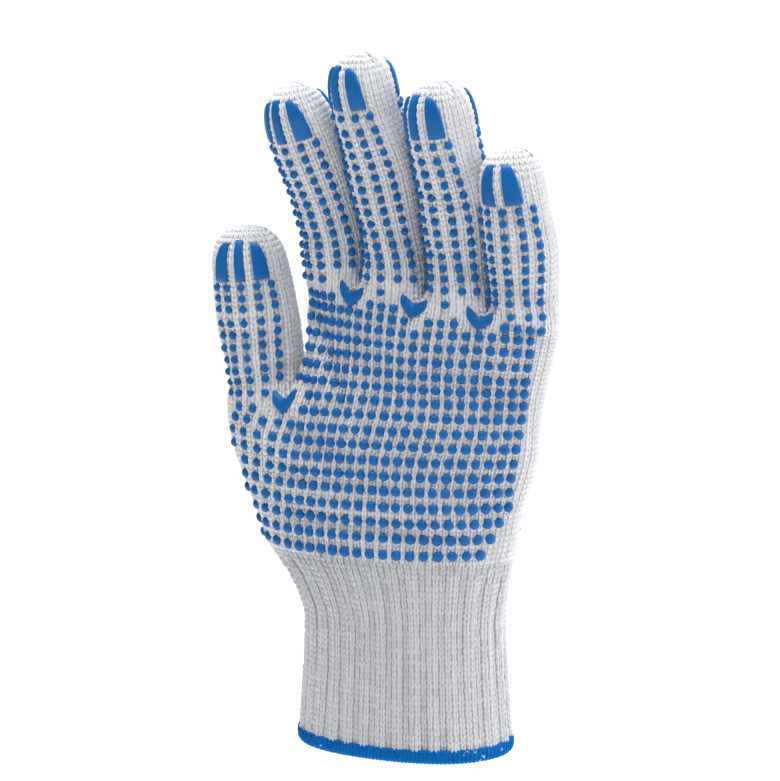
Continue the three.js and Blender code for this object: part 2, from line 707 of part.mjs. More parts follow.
const FACES = [
  { face: "palm", centre: 1 },
  { face: "back", centre: 5 },
];
for (const { face, centre } of FACES)
  for (const digit of DIGITS) {
    const kinds = digit.name === "little" ? ["left", "right"] : ["left", "stripe", "right"];
    for (const kind of kinds)
      addPiece(`${digit.name}_pad_${kind}_${face}`, tipPad(place, digit, centre, kind), bluePvc);
  }

for (const { face } of FACES)
  for (const fork of FORKS)
    addPiece(`${fork.name}_fork_patch_${face}`, forkPatch(place, fork, face), bluePvc);

export default glove;
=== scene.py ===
import math

import bpy
import numpy as np
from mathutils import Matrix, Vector


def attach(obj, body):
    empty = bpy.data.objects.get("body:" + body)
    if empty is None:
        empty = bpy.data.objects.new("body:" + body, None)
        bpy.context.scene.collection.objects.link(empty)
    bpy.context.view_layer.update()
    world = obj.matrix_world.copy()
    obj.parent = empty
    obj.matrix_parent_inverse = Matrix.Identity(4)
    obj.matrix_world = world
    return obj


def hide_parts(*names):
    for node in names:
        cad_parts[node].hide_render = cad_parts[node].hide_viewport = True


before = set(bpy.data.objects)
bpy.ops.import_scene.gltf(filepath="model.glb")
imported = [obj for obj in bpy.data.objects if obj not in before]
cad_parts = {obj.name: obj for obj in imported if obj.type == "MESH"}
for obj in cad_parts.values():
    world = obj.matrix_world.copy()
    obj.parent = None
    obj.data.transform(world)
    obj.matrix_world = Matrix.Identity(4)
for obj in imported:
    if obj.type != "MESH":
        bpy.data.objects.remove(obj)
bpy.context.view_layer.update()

# --- Knitted hand: the cloth ------------------------------------------------------------------
# One seamless tube of white string knit: a palm that splits into four fingers and a thumb, in the
# rounded shape that wear gives it. Made smooth first, as the cloth that the stitches lie on.
MM = 0.001  # sizes are in millimetres, with the cuff's mouth at height 0, and the mesh in metres
CUFF_LENGTH, PALM_LENGTH, PALM_WIDTH, PALM_DEPTH = 69, 89, 96, 34
FINGER_WIDTH, FINGER_DEPTH, THUMB_WIDTH, THUMB_DEPTH = 23, 24.6, 27.4, 25
SQUARENESS = 2.35  # of the palm's section: 2 is an ellipse
OUTLINE_STEPS = 96
FACE_WALES, EDGE_WALES = 4.5, 2.5  # wales between two column lines, on a face and at an edge
DIGIT_WALES = 4 * (FACE_WALES + EDGE_WALES)  # all the way round a digit
COLUMNS = 10  # front columns, two for each digit
ATLAS = 200  # wales and millimetres across the knit's map
# up: share of the palm's length. centre, width: of its width. depth, forward: of its depth.
# thumb: share of a face in the thumb's wales. tilt: rise toward the thumb.
HAND_SECTIONS = [
    dict(up=0, centre=-0.063, width=0.965, depth=1.42, thumb=0.23, forward=0, tilt=0),
    dict(up=0.13, centre=-0.076, width=1.055, depth=1.4, thumb=0.235, forward=0.02, tilt=0),
    dict(up=0.27, centre=-0.078, width=1.125, depth=1.36, thumb=0.24, forward=0.08, tilt=0),
    dict(up=0.43, centre=-0.079, width=1.21, depth=1.29, thumb=0.255, forward=0.16, tilt=0),
    dict(up=0.6, centre=-0.083, width=1.255, depth=1.18, thumb=0.3, forward=0.2, tilt=0),
]
KNUCKLE_SECTIONS = [
    dict(up=0.8, centre=0.096, width=0.945, depth=1.02, thumb=None, forward=0, tilt=0.05),
    dict(up=1.0, centre=0.112, width=1.0, depth=1.0, thumb=None, forward=0, tilt=0.15),
]
FORK_DIP = 0.12  # how far a fork lies below its neighbours, as a share of the palm's depth
SPLIT = HAND_SECTIONS[-1]["up"] * PALM_LENGTH  # height on the palm where the thumb leaves it
# first: the digit's first front column. root: height on the palm where it starts.
# lean and curl in degrees at the base, a third, two thirds and the tip; twist at the tip.
DIGITS = {
    "thumb": dict(
        first=0, root=SPLIT, length=61, lean=(-9, -8, -3, -1), curl=(0, 6, 10, 6), twist=11),
    "index": dict(
        first=2, root=PALM_LENGTH, length=73, lean=(-3, -7, -12, -8), curl=(0, 12, 26, 12), twist=-22),
    "middle": dict(
        first=4, root=PALM_LENGTH, length=87.5, lean=(-1, -5, -6, -1), curl=(0, 12, 24, 8), twist=-34),
    "ring": dict(
        first=6, root=PALM_LENGTH, length=80.5, lean=(-1, -2, -3, -4), curl=(0, 10, 22, 8), twist=-30),
    "little": dict(
        first=8, root=PALM_LENGTH, length=59.5, lean=(-2, -3, -3, -3), curl=(0, 8, 14, 6), twist=-5),
}
# Place along the shaft, or below the tip in thicknesses; width and depth as shares of the digit's.
SHAFT_SECTIONS = [(0.16, 0.97, 1.02), (0.44, 0.98, 1.0), (0.72, 1.02, 0.99), (1.0, 1.02, 0.95)]
TIP_SECTIONS = [(0.42, 1.0, 0.9), (0.13, 0.8, 0.7)]
RIDGE_BELOW, RIDGE_WIDTH = -0.1, 0.22  # the line in which a tip closes
TIP_CLOSE = 0.24  # knitted height over a tip's last part, as a share of the digit's thickness

corners = []  # control points of the cloth
faces = []  # lists of (control point, place on the map)


def add_corner(x, y, z):
    corners.append(Vector((x, y, z)))
    return len(corners) - 1


def face_outline(section):
    """One face of a section of the palm, from the thumb's side, and the lengths along it."""
    angles = np.linspace(0, math.pi, OUTLINE_STEPS + 1)
    across = -np.cos(angles)
    x = np.sign(across) * np.abs(across) ** (2 / SQUARENESS) * section["width"] * PALM_WIDTH / 2
    y = np.sin(angles) ** (2 / SQUARENESS) * section["depth"] * PALM_DEPTH / 2
    lengths = np.concatenate([[0], np.cumsum(np.hypot(np.diff(x), np.diff(y)))])
    return x, y, lengths


def section_point(section, share, side):
    x, y, lengths = face_outline(section)
    at_x = float(np.interp(share * lengths[-1], lengths, x))
    at_y = float(np.interp(share * lengths[-1], lengths, y))
    thumb_side = ((1 - at_x / (section["width"] * PALM_WIDTH / 2)) / 2) ** 2
    return add_corner(
        section["centre"] * PALM_WIDTH + at_x,
        side * at_y - section["forward"] * PALM_DEPTH * thumb_side,
        CUFF_LENGTH + section["up"] * PALM_LENGTH - section["tilt"] * at_x,
    )


FINGERS_WALES = (COLUMNS - 2) * FACE_WALES + EDGE_WALES  # of a face, but for the thumb's


def column_share(column, thumb):
    """How far across a face a column line runs, as a share of the face's length."""
    from_thumb = (column - 2) * FACE_WALES
    if thumb is None:
        return (EDGE_WALES + from_thumb) / (EDGE_WALES + FINGERS_WALES)
    if column > 2:
        return thumb + (1 - thumb) * from_thumb / FINGERS_WALES
    return thumb * (EDGE_WALES + column * FACE_WALES) / (EDGE_WALES + 2 * FACE_WALES)


def hand_row(section):
    first = 2 if section["thumb"] is None else 0
    shares = {c: column_share(c, section["thumb"]) for c in range(first, COLUMNS + 1)}
    return dict(
        up=section["up"] * PALM_LENGTH,
        front={c: section_point(section, share, -1) for c, share in shares.items()},
        back={c: section_point(section, share, 1) for c, share in shares.items()},
        left=section_point(section, 0, 0),
        right=section_point(section, 1, 0),
    )


# A ring is a list of control points. Its strips say from which wale on, and for how many, each of
# its steps runs on the map, so that every wale goes straight up from the hand into its digit.
FRONT, BACK, RIGHT, LEFT = 0, 50, 45, 95
SIDE_CHARTS = {"web": 120, "thumb": 110, "index": 130, "middle": 150, "ring": 170}
FAR_SIDE = 10  # wales from the chart of a fork's one side to that of its other side


def hand_ring(row, first, left_point):
    ring = [row["front"][c] for c in range(first, COLUMNS + 1)] + [row["right"]]
    ring += [row["back"][c] for c in range(COLUMNS, first - 1, -1)] + [left_point]
    strips = [(FRONT + FACE_WALES * c, FACE_WALES) for c in range(first, COLUMNS)]
    strips += [(RIGHT, EDGE_WALES), (RIGHT + EDGE_WALES, EDGE_WALES)]
    strips += [(BACK + FACE_WALES * k, FACE_WALES) for k in range(COLUMNS - first)]
    left = LEFT if first == 0 else SIDE_CHARTS["web"]
    return ring, strips + [(left, EDGE_WALES), (left + EDGE_WALES, EDGE_WALES)]


def digit_strips(name):
    first = DIGITS[name]["first"]
    right = RIGHT if name == "little" else SIDE_CHARTS[name]
    left = {"thumb": LEFT, "index": SIDE_CHARTS["web"]}.get(name)
    if left is None:
        left = SIDE_CHARTS[{"middle": "index", "ring": "middle", "little": "ring"}[name]] + FAR_SIDE
    back = BACK + FACE_WALES * (COLUMNS - first - 2)
    return [
        (left + EDGE_WALES, EDGE_WALES), (FACE_WALES * first, FACE_WALES),
        (FACE_WALES * (first + 1), FACE_WALES), (right, EDGE_WALES), (right + EDGE_WALES, EDGE_WALES),
        (back, FACE_WALES), (back + FACE_WALES, FACE_WALES), (left, EDGE_WALES),
    ]


def bridge(low, high, strips, bottom, top):
    """Cloth between two rings, and from which height to which it runs on the map."""
    for k, (wale, count) in enumerate(strips):
        after = (k + 1) % len(low)
        faces.append([
            (low[k], (wale, bottom)), (low[after], (wale + count, bottom)),
            (high[after], (wale + count, top)), (high[k], (wale, top)),
        ])


def fork_point(row, column):
    middle = (corners[row["front"][column]] + corners[row["back"][column]]) / 2
    return add_corner(middle.x, middle.y, middle.z - FORK_DIP * PALM_DEPTH)


def digit_ring(row, first, left, right):
    front, back = row["front"], row["back"]
    return [left, front[first], front[first + 1], front[first + 2],
            right, back[first + 2], back[first + 1], back[first]]


# Control points of a unit circle: smoothing takes one part of each neighbour and four of the point.
corner_angle = math.tau * EDGE_WALES / DIGIT_WALES
corner_x = (6 * math.cos(corner_angle) - 1.5) / 3.5
corner_y = (6 * math.sin(corner_angle) - 1.5) / 3.5
side_x, middle_y = 1.5 - corner_x / 2, 1.5 - corner_y / 2
RING_CONTROLS = [
    (-side_x, 0), (-corner_x, -corner_y), (0, -middle_y), (corner_x, -corner_y),
    (side_x, 0), (corner_x, corner_y), (0, middle_y), (-corner_x, corner_y),
]


def digit_frame(digit, share):
    steps = np.linspace(0, 1, len(digit["lean"]))
    lean = math.radians(np.interp(share, steps, digit["lean"]))
    curl = math.radians(np.interp(share, steps, digit["curl"]))
    along = Vector((math.sin(lean), -math.sin(curl), math.cos(lean) * math.cos(curl))).normalized()
    back = (Vector((0, 1, 0)) - along * along.y).normalized()
    return along, back.cross(along), back


def grow_digit(name, ring):
    """A finger or the thumb, ring by ring from its root to the closed tip."""
    digit = DIGITS[name]
    thick, deep = (THUMB_WIDTH, THUMB_DEPTH) if name == "thumb" else (FINGER_WIDTH, FINGER_DEPTH)
    length, root = digit["length"], digit["root"]
    stations = [(up * (length - thick), w, d) for up, w, d in SHAFT_SECTIONS]
    stations += [(length - below * thick, w, d) for below, w, d in TIP_SECTIONS]
    stations.append((length - RIDGE_BELOW * thick, RIDGE_WIDTH, 0))
    centre = sum((corners[p] for p in ring), Vector()) / len(ring)
    strips, reached = digit_strips(name), 0
    for at, wide, high in stations:
        along = digit_frame(digit, (reached + at) / 2 / length)[0]
        centre = centre + along * (at - reached)
        _, across, back = digit_frame(digit, at / length)
        twist = math.radians(digit["twist"]) * at / length
        cosine, sine = math.cos(twist), math.sin(twist)

        def place(sideways, backward):
            point = centre + across * (cosine * sideways - sine * backward)
            return add_corner(*(point + back * (sine * sideways + cosine * backward)))

        if high:
            upper = [place(x * wide * thick / 2, y * high * deep / 2) for x, y in RING_CONTROLS]
            bridge(ring, upper, strips, root + reached, root + at)
            ring, reached = upper, at
        else:
            ridge = [place(side * wide * thick / 2, 0) for side in (-1, 0, 1)]
            close_tip(ring, ridge, strips, root + reached, root + reached + TIP_CLOSE * thick)


def close_tip(ring, ridge, strips, low, high):
    """The last ring drawn together on a short ridge: four-sided faces, and triangles at its ends."""
    def lower_edge(k):
        wale, count = strips[k]
        return [(ring[k], (wale, low)), (ring[(k + 1) % len(ring)], (wale + count, low))]

    for k, (a, b) in {1: (0, 1), 2: (1, 2), 5: (2, 1), 6: (1, 0)}.items():
        wale, count = strips[k]
        faces.append(lower_edge(k) + [(ridge[b], (wale + count, high)), (ridge[a], (wale, high))])
    for k, a, part in ((0, 0, 1), (7, 0, 0), (3, 2, 0), (4, 2, 1)):
        wale, count = strips[k]
        faces.append(lower_edge(k) + [(ridge[a], (wale + count * part, high))])


rows = [hand_row(section) for section in HAND_SECTIONS]
for low, high in zip(rows, rows[1:]):
    ring, strips = hand_ring(low, 0, low["left"])
    bridge(ring, hand_ring(high, 0, high["left"])[0], strips, low["up"], high["up"])
split = rows[-1]
thumb_fork = fork_point(split, 2)
ring, strips = hand_ring(split, 2, thumb_fork)
below = split["up"]
for section in KNUCKLE_SECTIONS:
    row = hand_row(section)
    upper = hand_ring(row, 2, row["left"])[0]
    bridge(ring, upper, strips, below, row["up"])
    ring, below = upper, row["up"]
forks = [row["left"]] + [fork_point(row, column) for column in (4, 6, 8)] + [row["right"]]
grow_digit("thumb", digit_ring(split, 0, split["left"], thumb_fork))
for k, name in enumerate(["index", "middle", "ring", "little"]):
    grow_digit(name, digit_ring(row, 2 * k + 2, forks[k], forks[k + 1]))


def new_object(name, mesh):
    made = bpy.data.objects.new(name, mesh)
    bpy.context.scene.collection.objects.link(made)
    return made


def new_mesh(name, points, polygons):
    mesh = bpy.data.meshes.new(name)
    mesh.from_pydata([tuple(p) for p in points], [], polygons)
    return mesh


def mesh_object(name, points, polygons, places=None):
    """An object with a new mesh; places are its corners' places on the knit's map."""
    mesh = new_mesh(name, points, polygons)
    if places is not None:
        knit_map = mesh.uv_layers.new(name="knit")
        knit_map.data.foreach_set("uv", np.asarray(places, dtype=np.float32).ravel() / ATLAS)
    return new_object(name, mesh)


def finished(piece):
    """The piece as a plain mesh, with its modifiers worked in."""
    depsgraph = bpy.context.evaluated_depsgraph_get()
    mesh = bpy.data.meshes.new_from_object(
        piece.evaluated_get(depsgraph), preserve_all_data_layers=True, depsgraph=depsgraph)
    piece.modifiers.clear()
    piece.data = mesh
    return piece


def shade_smooth(piece):
    piece.data.polygons.foreach_set("use_smooth", [True] * len(piece.data.polygons))


cloth = mesh_object(
    "cloth", [p * MM for p in corners], [[p for p, _ in face] for face in faces],
    [place for face in faces for _, place in face])
smooth = cloth.modifiers.new("smooth", "SUBSURF")
smooth.levels = smooth.render_levels = 3
smooth.uv_smooth = "NONE"
finished(cloth)
shade_smooth(cloth)

# Creases where the worn cloth bunches: x and z where each starts and ends, its width, its height
# (a valley's is negative), and whether it is on the palm (-1) or the back (1).
CREASES = [
    (-33, 152, -20, 126, 3.0, 1.3, -1), (-27, 150, -12, 120, 3.2, -1.2, -1),
    (-38, 138, -26, 112, 3.2, 1.1, -1), (-44, 120, -18, 108, 3.6, -0.9, -1),
    (-50, 112, -22, 100, 4.0, 0.8, -1), (30, 150, 40, 122, 4.0, -0.7, -1),
    (-30, 84, 24, 78, 3.4, -0.7, -1), (-34, 92, 10, 86, 3.8, 0.5, -1),
    (44, 190, 56, 184, 2.4, -0.7, -1), (46, 166, 58, 158, 3.0, -0.8, -1),
    (44, 158, 56, 150, 2.6, 0.7, -1), (16, 176, 32, 168, 2.6, -0.7, -1),
    (14, 196, 30, 192, 2.4, -0.6, -1), (18, 164, 30, 158, 2.6, 0.6, -1),
    (-14, 184, 4, 180, 2.6, -0.6, -1), (-10, 168, 6, 163, 2.4, 0.6, -1),
    (-40, 182, -26, 178, 2.6, -0.7, -1), (-36, 166, -22, 160, 2.6, 0.6, -1),
    (-62, 146, -46, 142, 2.6, -0.7, -1), (-60, 130, -42, 138, 2.8, 0.7, -1),
    (-30, 120, 20, 112, 5.0, -0.6, 1), (-34, 98, 26, 92, 4.5, 0.7, 1),
    (-30, 82, 22, 76, 4.0, -0.7, 1), (-44, 126, -20, 108, 4.0, 0.9, 1),
]
WANDER, SWAY, EASE_IN = 0.22, 0.45, 8  # unevenness outward and sideways, and where it sets in
points = np.empty(len(cloth.data.vertices) * 3, dtype=np.float32)
cloth.data.vertices.foreach_get("co", points)
points = points.reshape(-1, 3)
normals = np.array([tuple(v.normal) for v in cloth.data.vertices])
flat = points[:, [0, 2]] / MM
for x0, z0, x1, z1, width, height, side in CREASES:
    start, line = np.array([x0, z0]), np.array([x1 - x0, z1 - z0])
    along = np.clip((flat - start) @ line / (line @ line), 0, 1)
    away = np.linalg.norm(flat - start - along[:, None] * line, axis=1)
    swell = height * np.exp(-(away / width) ** 2) * np.clip(normals[:, 1] * side * 2, 0, 1)
    points += (normals * swell[:, None] * MM).astype(np.float32)
x, y, z = points.T / MM
wander = np.sin(x / 6.1 + z / 9.7 + 1.3) * np.sin(y / 5.3 - z / 12.1)
wander = wander + 0.7 * np.sin(z / 5.9 + x / 14.3 + y / 7.7)
grown = np.clip((z - CUFF_LENGTH) / EASE_IN, 0, 1)[:, None]
points += (normals * wander[:, None] * grown * WANDER * MM).astype(np.float32)
points[:, 0] += (SWAY * np.sin(z / 6.3 + x / 11.9) * grown[:, 0] * MM).astype(np.float32)
cloth.data.vertices.foreach_set("co", points.ravel())
cloth.data.update()


class Wire:
    """A node's output, which can be used in sums and products with numbers and other wires."""

    def __init__(self, tree, socket):
        self.tree, self.socket = tree, socket

    def node(self, kind, inputs, output=0, stops=None, **settings):
        made = self.tree.nodes.new(kind)
        for name, value in settings.items():
            setattr(made, name, value)
        if stops:
            ramp = made.color_ramp.elements
            while len(ramp) < len(stops):
                ramp.new(0.5)
            for element, (position, colour) in zip(ramp, stops):
                element.position, element.color = position, (*colour, 1)
        for key, value in inputs.items():
            if isinstance(value, Wire):
                self.tree.links.new(value.socket, made.inputs[key])
            else:
                made.inputs[key].default_value = value
        return Wire(self.tree, made.outputs[output])

    def out(self, name):
        return Wire(self.tree, self.socket.node.outputs[name])

    def scaled(self, by):
        """A vector made longer or shorter."""
        return self.node("ShaderNodeVectorMath", {0: self, "Scale": by}, operation="SCALE")

    def math(self, operation, *values):
        return self.node("ShaderNodeMath", dict(enumerate(values)), operation=operation)

    def __add__(self, other):
        return self.math("ADD", self, other)

    def __sub__(self, other):
        return self.math("SUBTRACT", self, other)

    def __rsub__(self, other):
        return self.math("SUBTRACT", other, self)

    def __mul__(self, other):
        return self.math("MULTIPLY", self, other)

    def __truediv__(self, other):
        return self.math("DIVIDE", self, other)

    def __rtruediv__(self, other):
        return self.math("DIVIDE", other, self)

    __radd__, __rmul__ = __add__, __mul__


def new_material(name, roughness):
    """A material with its Principled shader, and a wire to the Object coordinates."""
    material = bpy.data.materials.new(name)
    material.use_nodes = True
    tree = material.node_tree
    shader = tree.nodes["Principled BSDF"]
    shader.inputs["Roughness"].default_value = roughness
    place = Wire(tree, tree.nodes.new("ShaderNodeTexCoord").outputs["Object"])
    return material, shader, place


def connect(wire, shader, name):
    wire.tree.links.new(wire.socket, shader.inputs[name])


def noise(place, scale, detail):
    return place.node("ShaderNodeTexNoise", {
        "Vector": place, "Scale": scale, "Detail": detail, "Roughness": 0.6})


def blend(factor, first, second):
    """A colour between two, each a colour with its alpha or a wire."""
    return factor.node("ShaderNodeMix", {0: factor, 6: first, 7: second}, output=2, data_type="RGBA")


def bump(height, shader, strength, distance):
    """Relief on a shader's surface; distance is its depth in metres."""
    connect(height.node("ShaderNodeBump", {
        "Strength": strength, "Distance": distance, "Height": height}), shader, "Normal")


def yarn_material(name, light, dark, fineness):
    """Spun cotton: matt, with a soft sheen, cloudy in tone and rough with fibres."""
    material, shader, place = new_material(name, 0.92)
    shader.inputs["Sheen Weight"].default_value = 0.25
    shader.inputs["Sheen Roughness"].default_value = 0.6
    shade = noise(place, 60, 3) * 0.6 + noise(place, fineness, 2) * 0.5
    connect(blend(shade, (*dark, 1), (*light, 1)), shader, "Base Color")
    bump(noise(place, fineness * 1.7, 4), shader, 0.35, 0.0004)
    return material


# The hand's cotton is painted a lighter white than the cuff's rib yarn, though both are the same white
# yarn: painted light on the hand.
cotton = yarn_material("cotton yarn", (0.93, 0.94, 0.965), (0.81, 0.82, 0.85), 1500)
# The backing is painted a darker grey than the yarn on it: painted shade that shows through the gaps
# between the stitches.
painted_shade_backing = yarn_material("knit backing", (0.84, 0.85, 0.88), (0.7, 0.71, 0.74), 1200)

HAND_WALL = 1.1
SINK = 0.22  # how deep the wall lies under the surface that carries the stitches
knit_hand = new_object("knit_hand_cloth", cloth.data.copy())
sunk = points - (normals * SINK * MM).astype(np.float32)
knit_hand.data.vertices.foreach_set("co", sunk.ravel())
wall = knit_hand.modifiers.new("wall", "SOLIDIFY")
wall.thickness, wall.offset = HAND_WALL * MM, -1
finished(knit_hand)
shade_smooth(knit_hand)
knit_hand.data.materials.append(painted_shade_backing)
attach(knit_hand, "root")
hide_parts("knit_hand")

# --- Rib cuff: the cloth ------------------------------------------------------------------------
# The elastic wrist below the hand, knitted on from it with rubber thread, so that its wales draw
# together in narrow ribs. It flares a little at the heel of the hand and at its mouth.
WRIST_WIDTH, WRIST_DEPTH = 74, 51
CUFF_SECTIONS = [  # share of the cuff's height; centre, width and depth as shares of the wrist's
    (0, 0, 1.065, 1.05), (0.2, 0, 1.035, 1.04), (0.45, 0, 1.0, 1.0), (0.7, -0.004, 0.99, 0.98),
    (0.87, -0.036, 1.1, 0.97),
]
CUFF_WALES, WALES_PER_RIB, STEPS_PER_WALE = 90, 3, 4
CUFF_STEPS = CUFF_WALES * STEPS_PER_WALE
CUFF_START, CUFF_TUCK, CUFF_WALL = 1.2, 3, 1.0  # lower edge, length inside the hand, and thickness
RIB_RISE, RIB_FADE = 1.1, 6  # height of a rib over its valley, and the length in which it ends

rim = np.array([tuple(v.co) for v in cloth.data.vertices]) / MM
rim = rim[np.abs(rim[:, 2] - CUFF_LENGTH) < 1e-3][:, :2]
rim = rim[np.argsort(np.arctan2(rim[:, 1], rim[:, 0]))]
rim_centre = (rim[:, 0].min() + rim[:, 0].max()) / 2
rim_half = np.array([np.ptp(rim[:, 0]) / 2, np.ptp(rim[:, 1]) / 2])
start = int(np.argmin(rim[:, 0]))
loop = np.vstack([np.roll(rim, -start, axis=0), rim[start]])
reach = np.concatenate([[0], np.cumsum(np.linalg.norm(np.diff(loop, axis=0), axis=1))])
reach /= reach[-1]
unit = (loop - [rim_centre, 0]) / rim_half


def cuff_point(share, z):
    """Place on the cuff: share is the way round from the thumb's side by the palm, z a height."""
    table = [(up * CUFF_LENGTH, centre * WRIST_WIDTH, width * WRIST_WIDTH / 2, depth * WRIST_DEPTH / 2)
             for up, centre, width, depth in CUFF_SECTIONS]
    table.append((CUFF_LENGTH, rim_centre, *rim_half))
    heights, centres, widths, depths = zip(*table)
    x = np.interp(share, reach, unit[:, 0]) * np.interp(z, heights, widths)
    y = np.interp(share, reach, unit[:, 1]) * np.interp(z, heights, depths)
    return ((x + np.interp(z, heights, centres)) * MM, y * MM, z * MM)


levels = np.concatenate([
    [CUFF_START], np.linspace(4, CUFF_LENGTH, 23),
    [CUFF_LENGTH + CUFF_TUCK / 2, CUFF_LENGTH + CUFF_TUCK]])
grid = [cuff_point(k / CUFF_STEPS, z) for z in levels for k in range(CUFF_STEPS)]
polygons, places = [], []
for r, (low, high) in enumerate(zip(levels, levels[1:])):
    for k in range(CUFF_STEPS):
        here, after = r * CUFF_STEPS + k, r * CUFF_STEPS + (k + 1) % CUFF_STEPS
        polygons.append((here, after, after + CUFF_STEPS, here + CUFF_STEPS))
        left, right = k / STEPS_PER_WALE, (k + 1) / STEPS_PER_WALE
        places += [(left, low), (right, low), (right, high), (left, high)]
cuff = mesh_object("cuff_cloth", grid, polygons, places)
# The kinks between the sections are eased out, but not at the mouth and where the hand begins.
free = cuff.vertex_groups.new(name="free")
free.add(list(range(CUFF_STEPS * 2, CUFF_STEPS * (len(levels) - 1))), 1.0, "REPLACE")
ease = cuff.modifiers.new("ease", "SMOOTH")
ease.factor, ease.iterations, ease.vertex_group = 0.5, 6, "free"
finished(cuff)
shade_smooth(cuff)

# Ribs, deeper in one place than in another, since the rubber thread doesn't pull evenly.
ribbed = np.array([tuple(v.co) for v in cuff.data.vertices])
cuff_normals = np.array([tuple(v.normal) for v in cuff.data.vertices])
around = np.tile(np.arange(CUFF_STEPS) / STEPS_PER_WALE, len(levels))
height = np.repeat(levels, CUFF_STEPS)
slack = 0.75 + 0.3 * np.sin(around * 0.43 + height * 0.06)
slack = slack + 0.25 * np.sin(around * 1.3 - height * 0.11)
depth = RIB_RISE * np.clip((CUFF_LENGTH - height) / RIB_FADE, 0, 1) * slack
rib = np.cos(around / WALES_PER_RIB * math.tau)
ribbed += cuff_normals * (depth * (rib - 0.35) * 0.6 * MM)[:, None]
cuff.data.vertices.foreach_set("co", ribbed.astype(np.float32).ravel())
cuff.data.update()

# The cuff's rib yarn is painted a darker white than the hand's cotton, the same yarn: painted shade on
# the cuff.
rib_yarn_painted_shade = yarn_material("rib yarn", (0.83, 0.84, 0.87), (0.7, 0.71, 0.74), 1500)
# Its backing is darker still: painted shade that shows through the gaps between the cuff's stitches.
painted_shade_rib_backing = yarn_material("rib backing", (0.66, 0.67, 0.7), (0.5, 0.51, 0.54), 1200)
rib_cuff = new_object("rib_cuff_cloth", cuff.data.copy())
inset = rib_cuff.modifiers.new("inset", "DISPLACE")
inset.strength, inset.mid_level = -SINK * MM, 0
wall = rib_cuff.modifiers.new("wall", "SOLIDIFY")
wall.thickness, wall.offset = CUFF_WALL * MM, -1
finished(rib_cuff)
shade_smooth(rib_cuff)
rib_cuff.data.materials.append(painted_shade_rib_backing)
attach(rib_cuff, "root")
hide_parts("rib_cuff")

# --- Stitches -----------------------------------------------------------------------------------
# Every stitch of the knit shows as a V of two yarn legs, one above the next in each wale. They are
# laid out flat on the knit's map and then bent onto the cloth.
COURSE = 2.0  # millimetres of the map from one course to the next
WALE_WIDTH = 2.35
LEG = [  # across in wales, up in courses, height and half thickness in millimetres
    (-0.03, -0.72, -0.2, 0.0), (-0.16, -0.34, 0.06, 0.5), (-0.25, 0.1, 0.14, 0.62),
    (-0.26, 0.48, 0.02, 0.52), (-0.17, 0.88, -0.3, 0.0),
]
LEG_SIDES, LEG_FLATNESS = 4, 0.8


def stitch_shape():
    """Two legs that lean together like a V, each a thin tube drawn to a point at both ends."""
    points, polygons, sides = [], [], LEG_SIDES
    for side in (1, -1):
        first = len(points)
        for across, up, height, half in LEG:
            if half == 0:
                points.append((side * across, up, height))
                continue
            for turn in range(sides):
                angle = math.tau * turn / sides * side
                points.append((side * across + math.cos(angle) * half / WALE_WIDTH, up,
                               height + math.sin(angle) * half * LEG_FLATNESS))
        last = len(points) - 1
        for k in range(sides):
            p, q = first + 1 + k, first + 1 + (k + 1) % sides
            leg = [(first, q, p), (last, last - sides + k, last - sides + (k + 1) % sides)]
            leg += [(p + r * sides, q + r * sides, q + (r + 1) * sides, p + (r + 1) * sides)
                    for r in range(len(LEG) - 3)]
            polygons += [polygon if side == 1 else polygon[::-1] for polygon in leg]
    return points, polygons


stitch = mesh_object("stitch", *stitch_shape())


def new_tree(name, inputs):
    """A tree: the wire of what comes in and those of its named inputs, objects as their meshes."""
    tree = bpy.data.node_groups.new(name, "GeometryNodeTree")
    for label, kind in {"Geometry": "Geometry", **inputs}.items():
        tree.interface.new_socket(label, in_out="INPUT", socket_type="NodeSocket" + kind)
    tree.interface.new_socket("Geometry", in_out="OUTPUT", socket_type="NodeSocketGeometry")
    start = Wire(tree, tree.nodes.new("NodeGroupInput").outputs["Geometry"])
    wires = {label: start.out(label) for label in inputs}
    for label, kind in inputs.items():
        if kind == "Object":
            thing = start.node("GeometryNodeObjectInfo", {"Object": wires[label]})
            wires[label] = thing.out("Geometry")
    return start, wires


def end_tree(made, material, smooth=True):
    """What was made leaves the tree as plain faces with their material."""
    made = made.node("GeometryNodeRealizeInstances", {"Geometry": made})
    if smooth:
        made = made.node("GeometryNodeSetShadeSmooth", {"Geometry": made})
    made = made.node("GeometryNodeSetMaterial", {"Geometry": made, "Material": material})
    ending = made.tree.nodes.new("NodeGroupOutput")
    made.tree.links.new(made.socket, ending.inputs[0])
    return made.tree


def attribute(start, name, kind="FLOAT_VECTOR"):
    return start.node("GeometryNodeInputNamedAttribute", {"Name": name}, data_type=kind)


def store(points, name, value, kind="FLOAT_VECTOR"):
    return points.node("GeometryNodeStoreNamedAttribute", {
        "Geometry": points, "Name": name, "Value": value}, data_type=kind, domain="POINT")


def cloth_reader(start, cloth_mesh):
    """A function that reads a value of the cloth at a place on its map, which is 1 wide and high."""
    knit_map = attribute(start, "knit")

    def read(value, where):
        return start.node("GeometryNodeSampleUVSurface", {
            "Mesh": cloth_mesh, "Value": value, "UV Map": knit_map, "Sample UV": where},
            data_type="FLOAT_VECTOR")

    return read


def on_cloth(points, read, where):
    """Only those points whose places on the map lie on the cloth."""
    outside = points.node("FunctionNodeBooleanMath", {
        0: read(where, where).out("Is Valid")}, operation="NOT")
    return points.node("GeometryNodeDeleteGeometry", {
        "Geometry": points, "Selection": outside}, domain="POINT")


def moved(geometry, base, rise):
    """Geometry set on a base and lifted from it."""
    final = geometry.node("ShaderNodeVectorMath", {0: base, 1: rise}, operation="ADD")
    return geometry.node("GeometryNodeSetPosition", {"Geometry": geometry, "Position": final})


def uneven(share, seed):
    """One, give or take up to a share."""
    chance = share.node("FunctionNodeRandomValue", {
        2: -1.0, 3: 1.0, "Seed": seed}, data_type="FLOAT", output=1)
    return 1 + chance * share


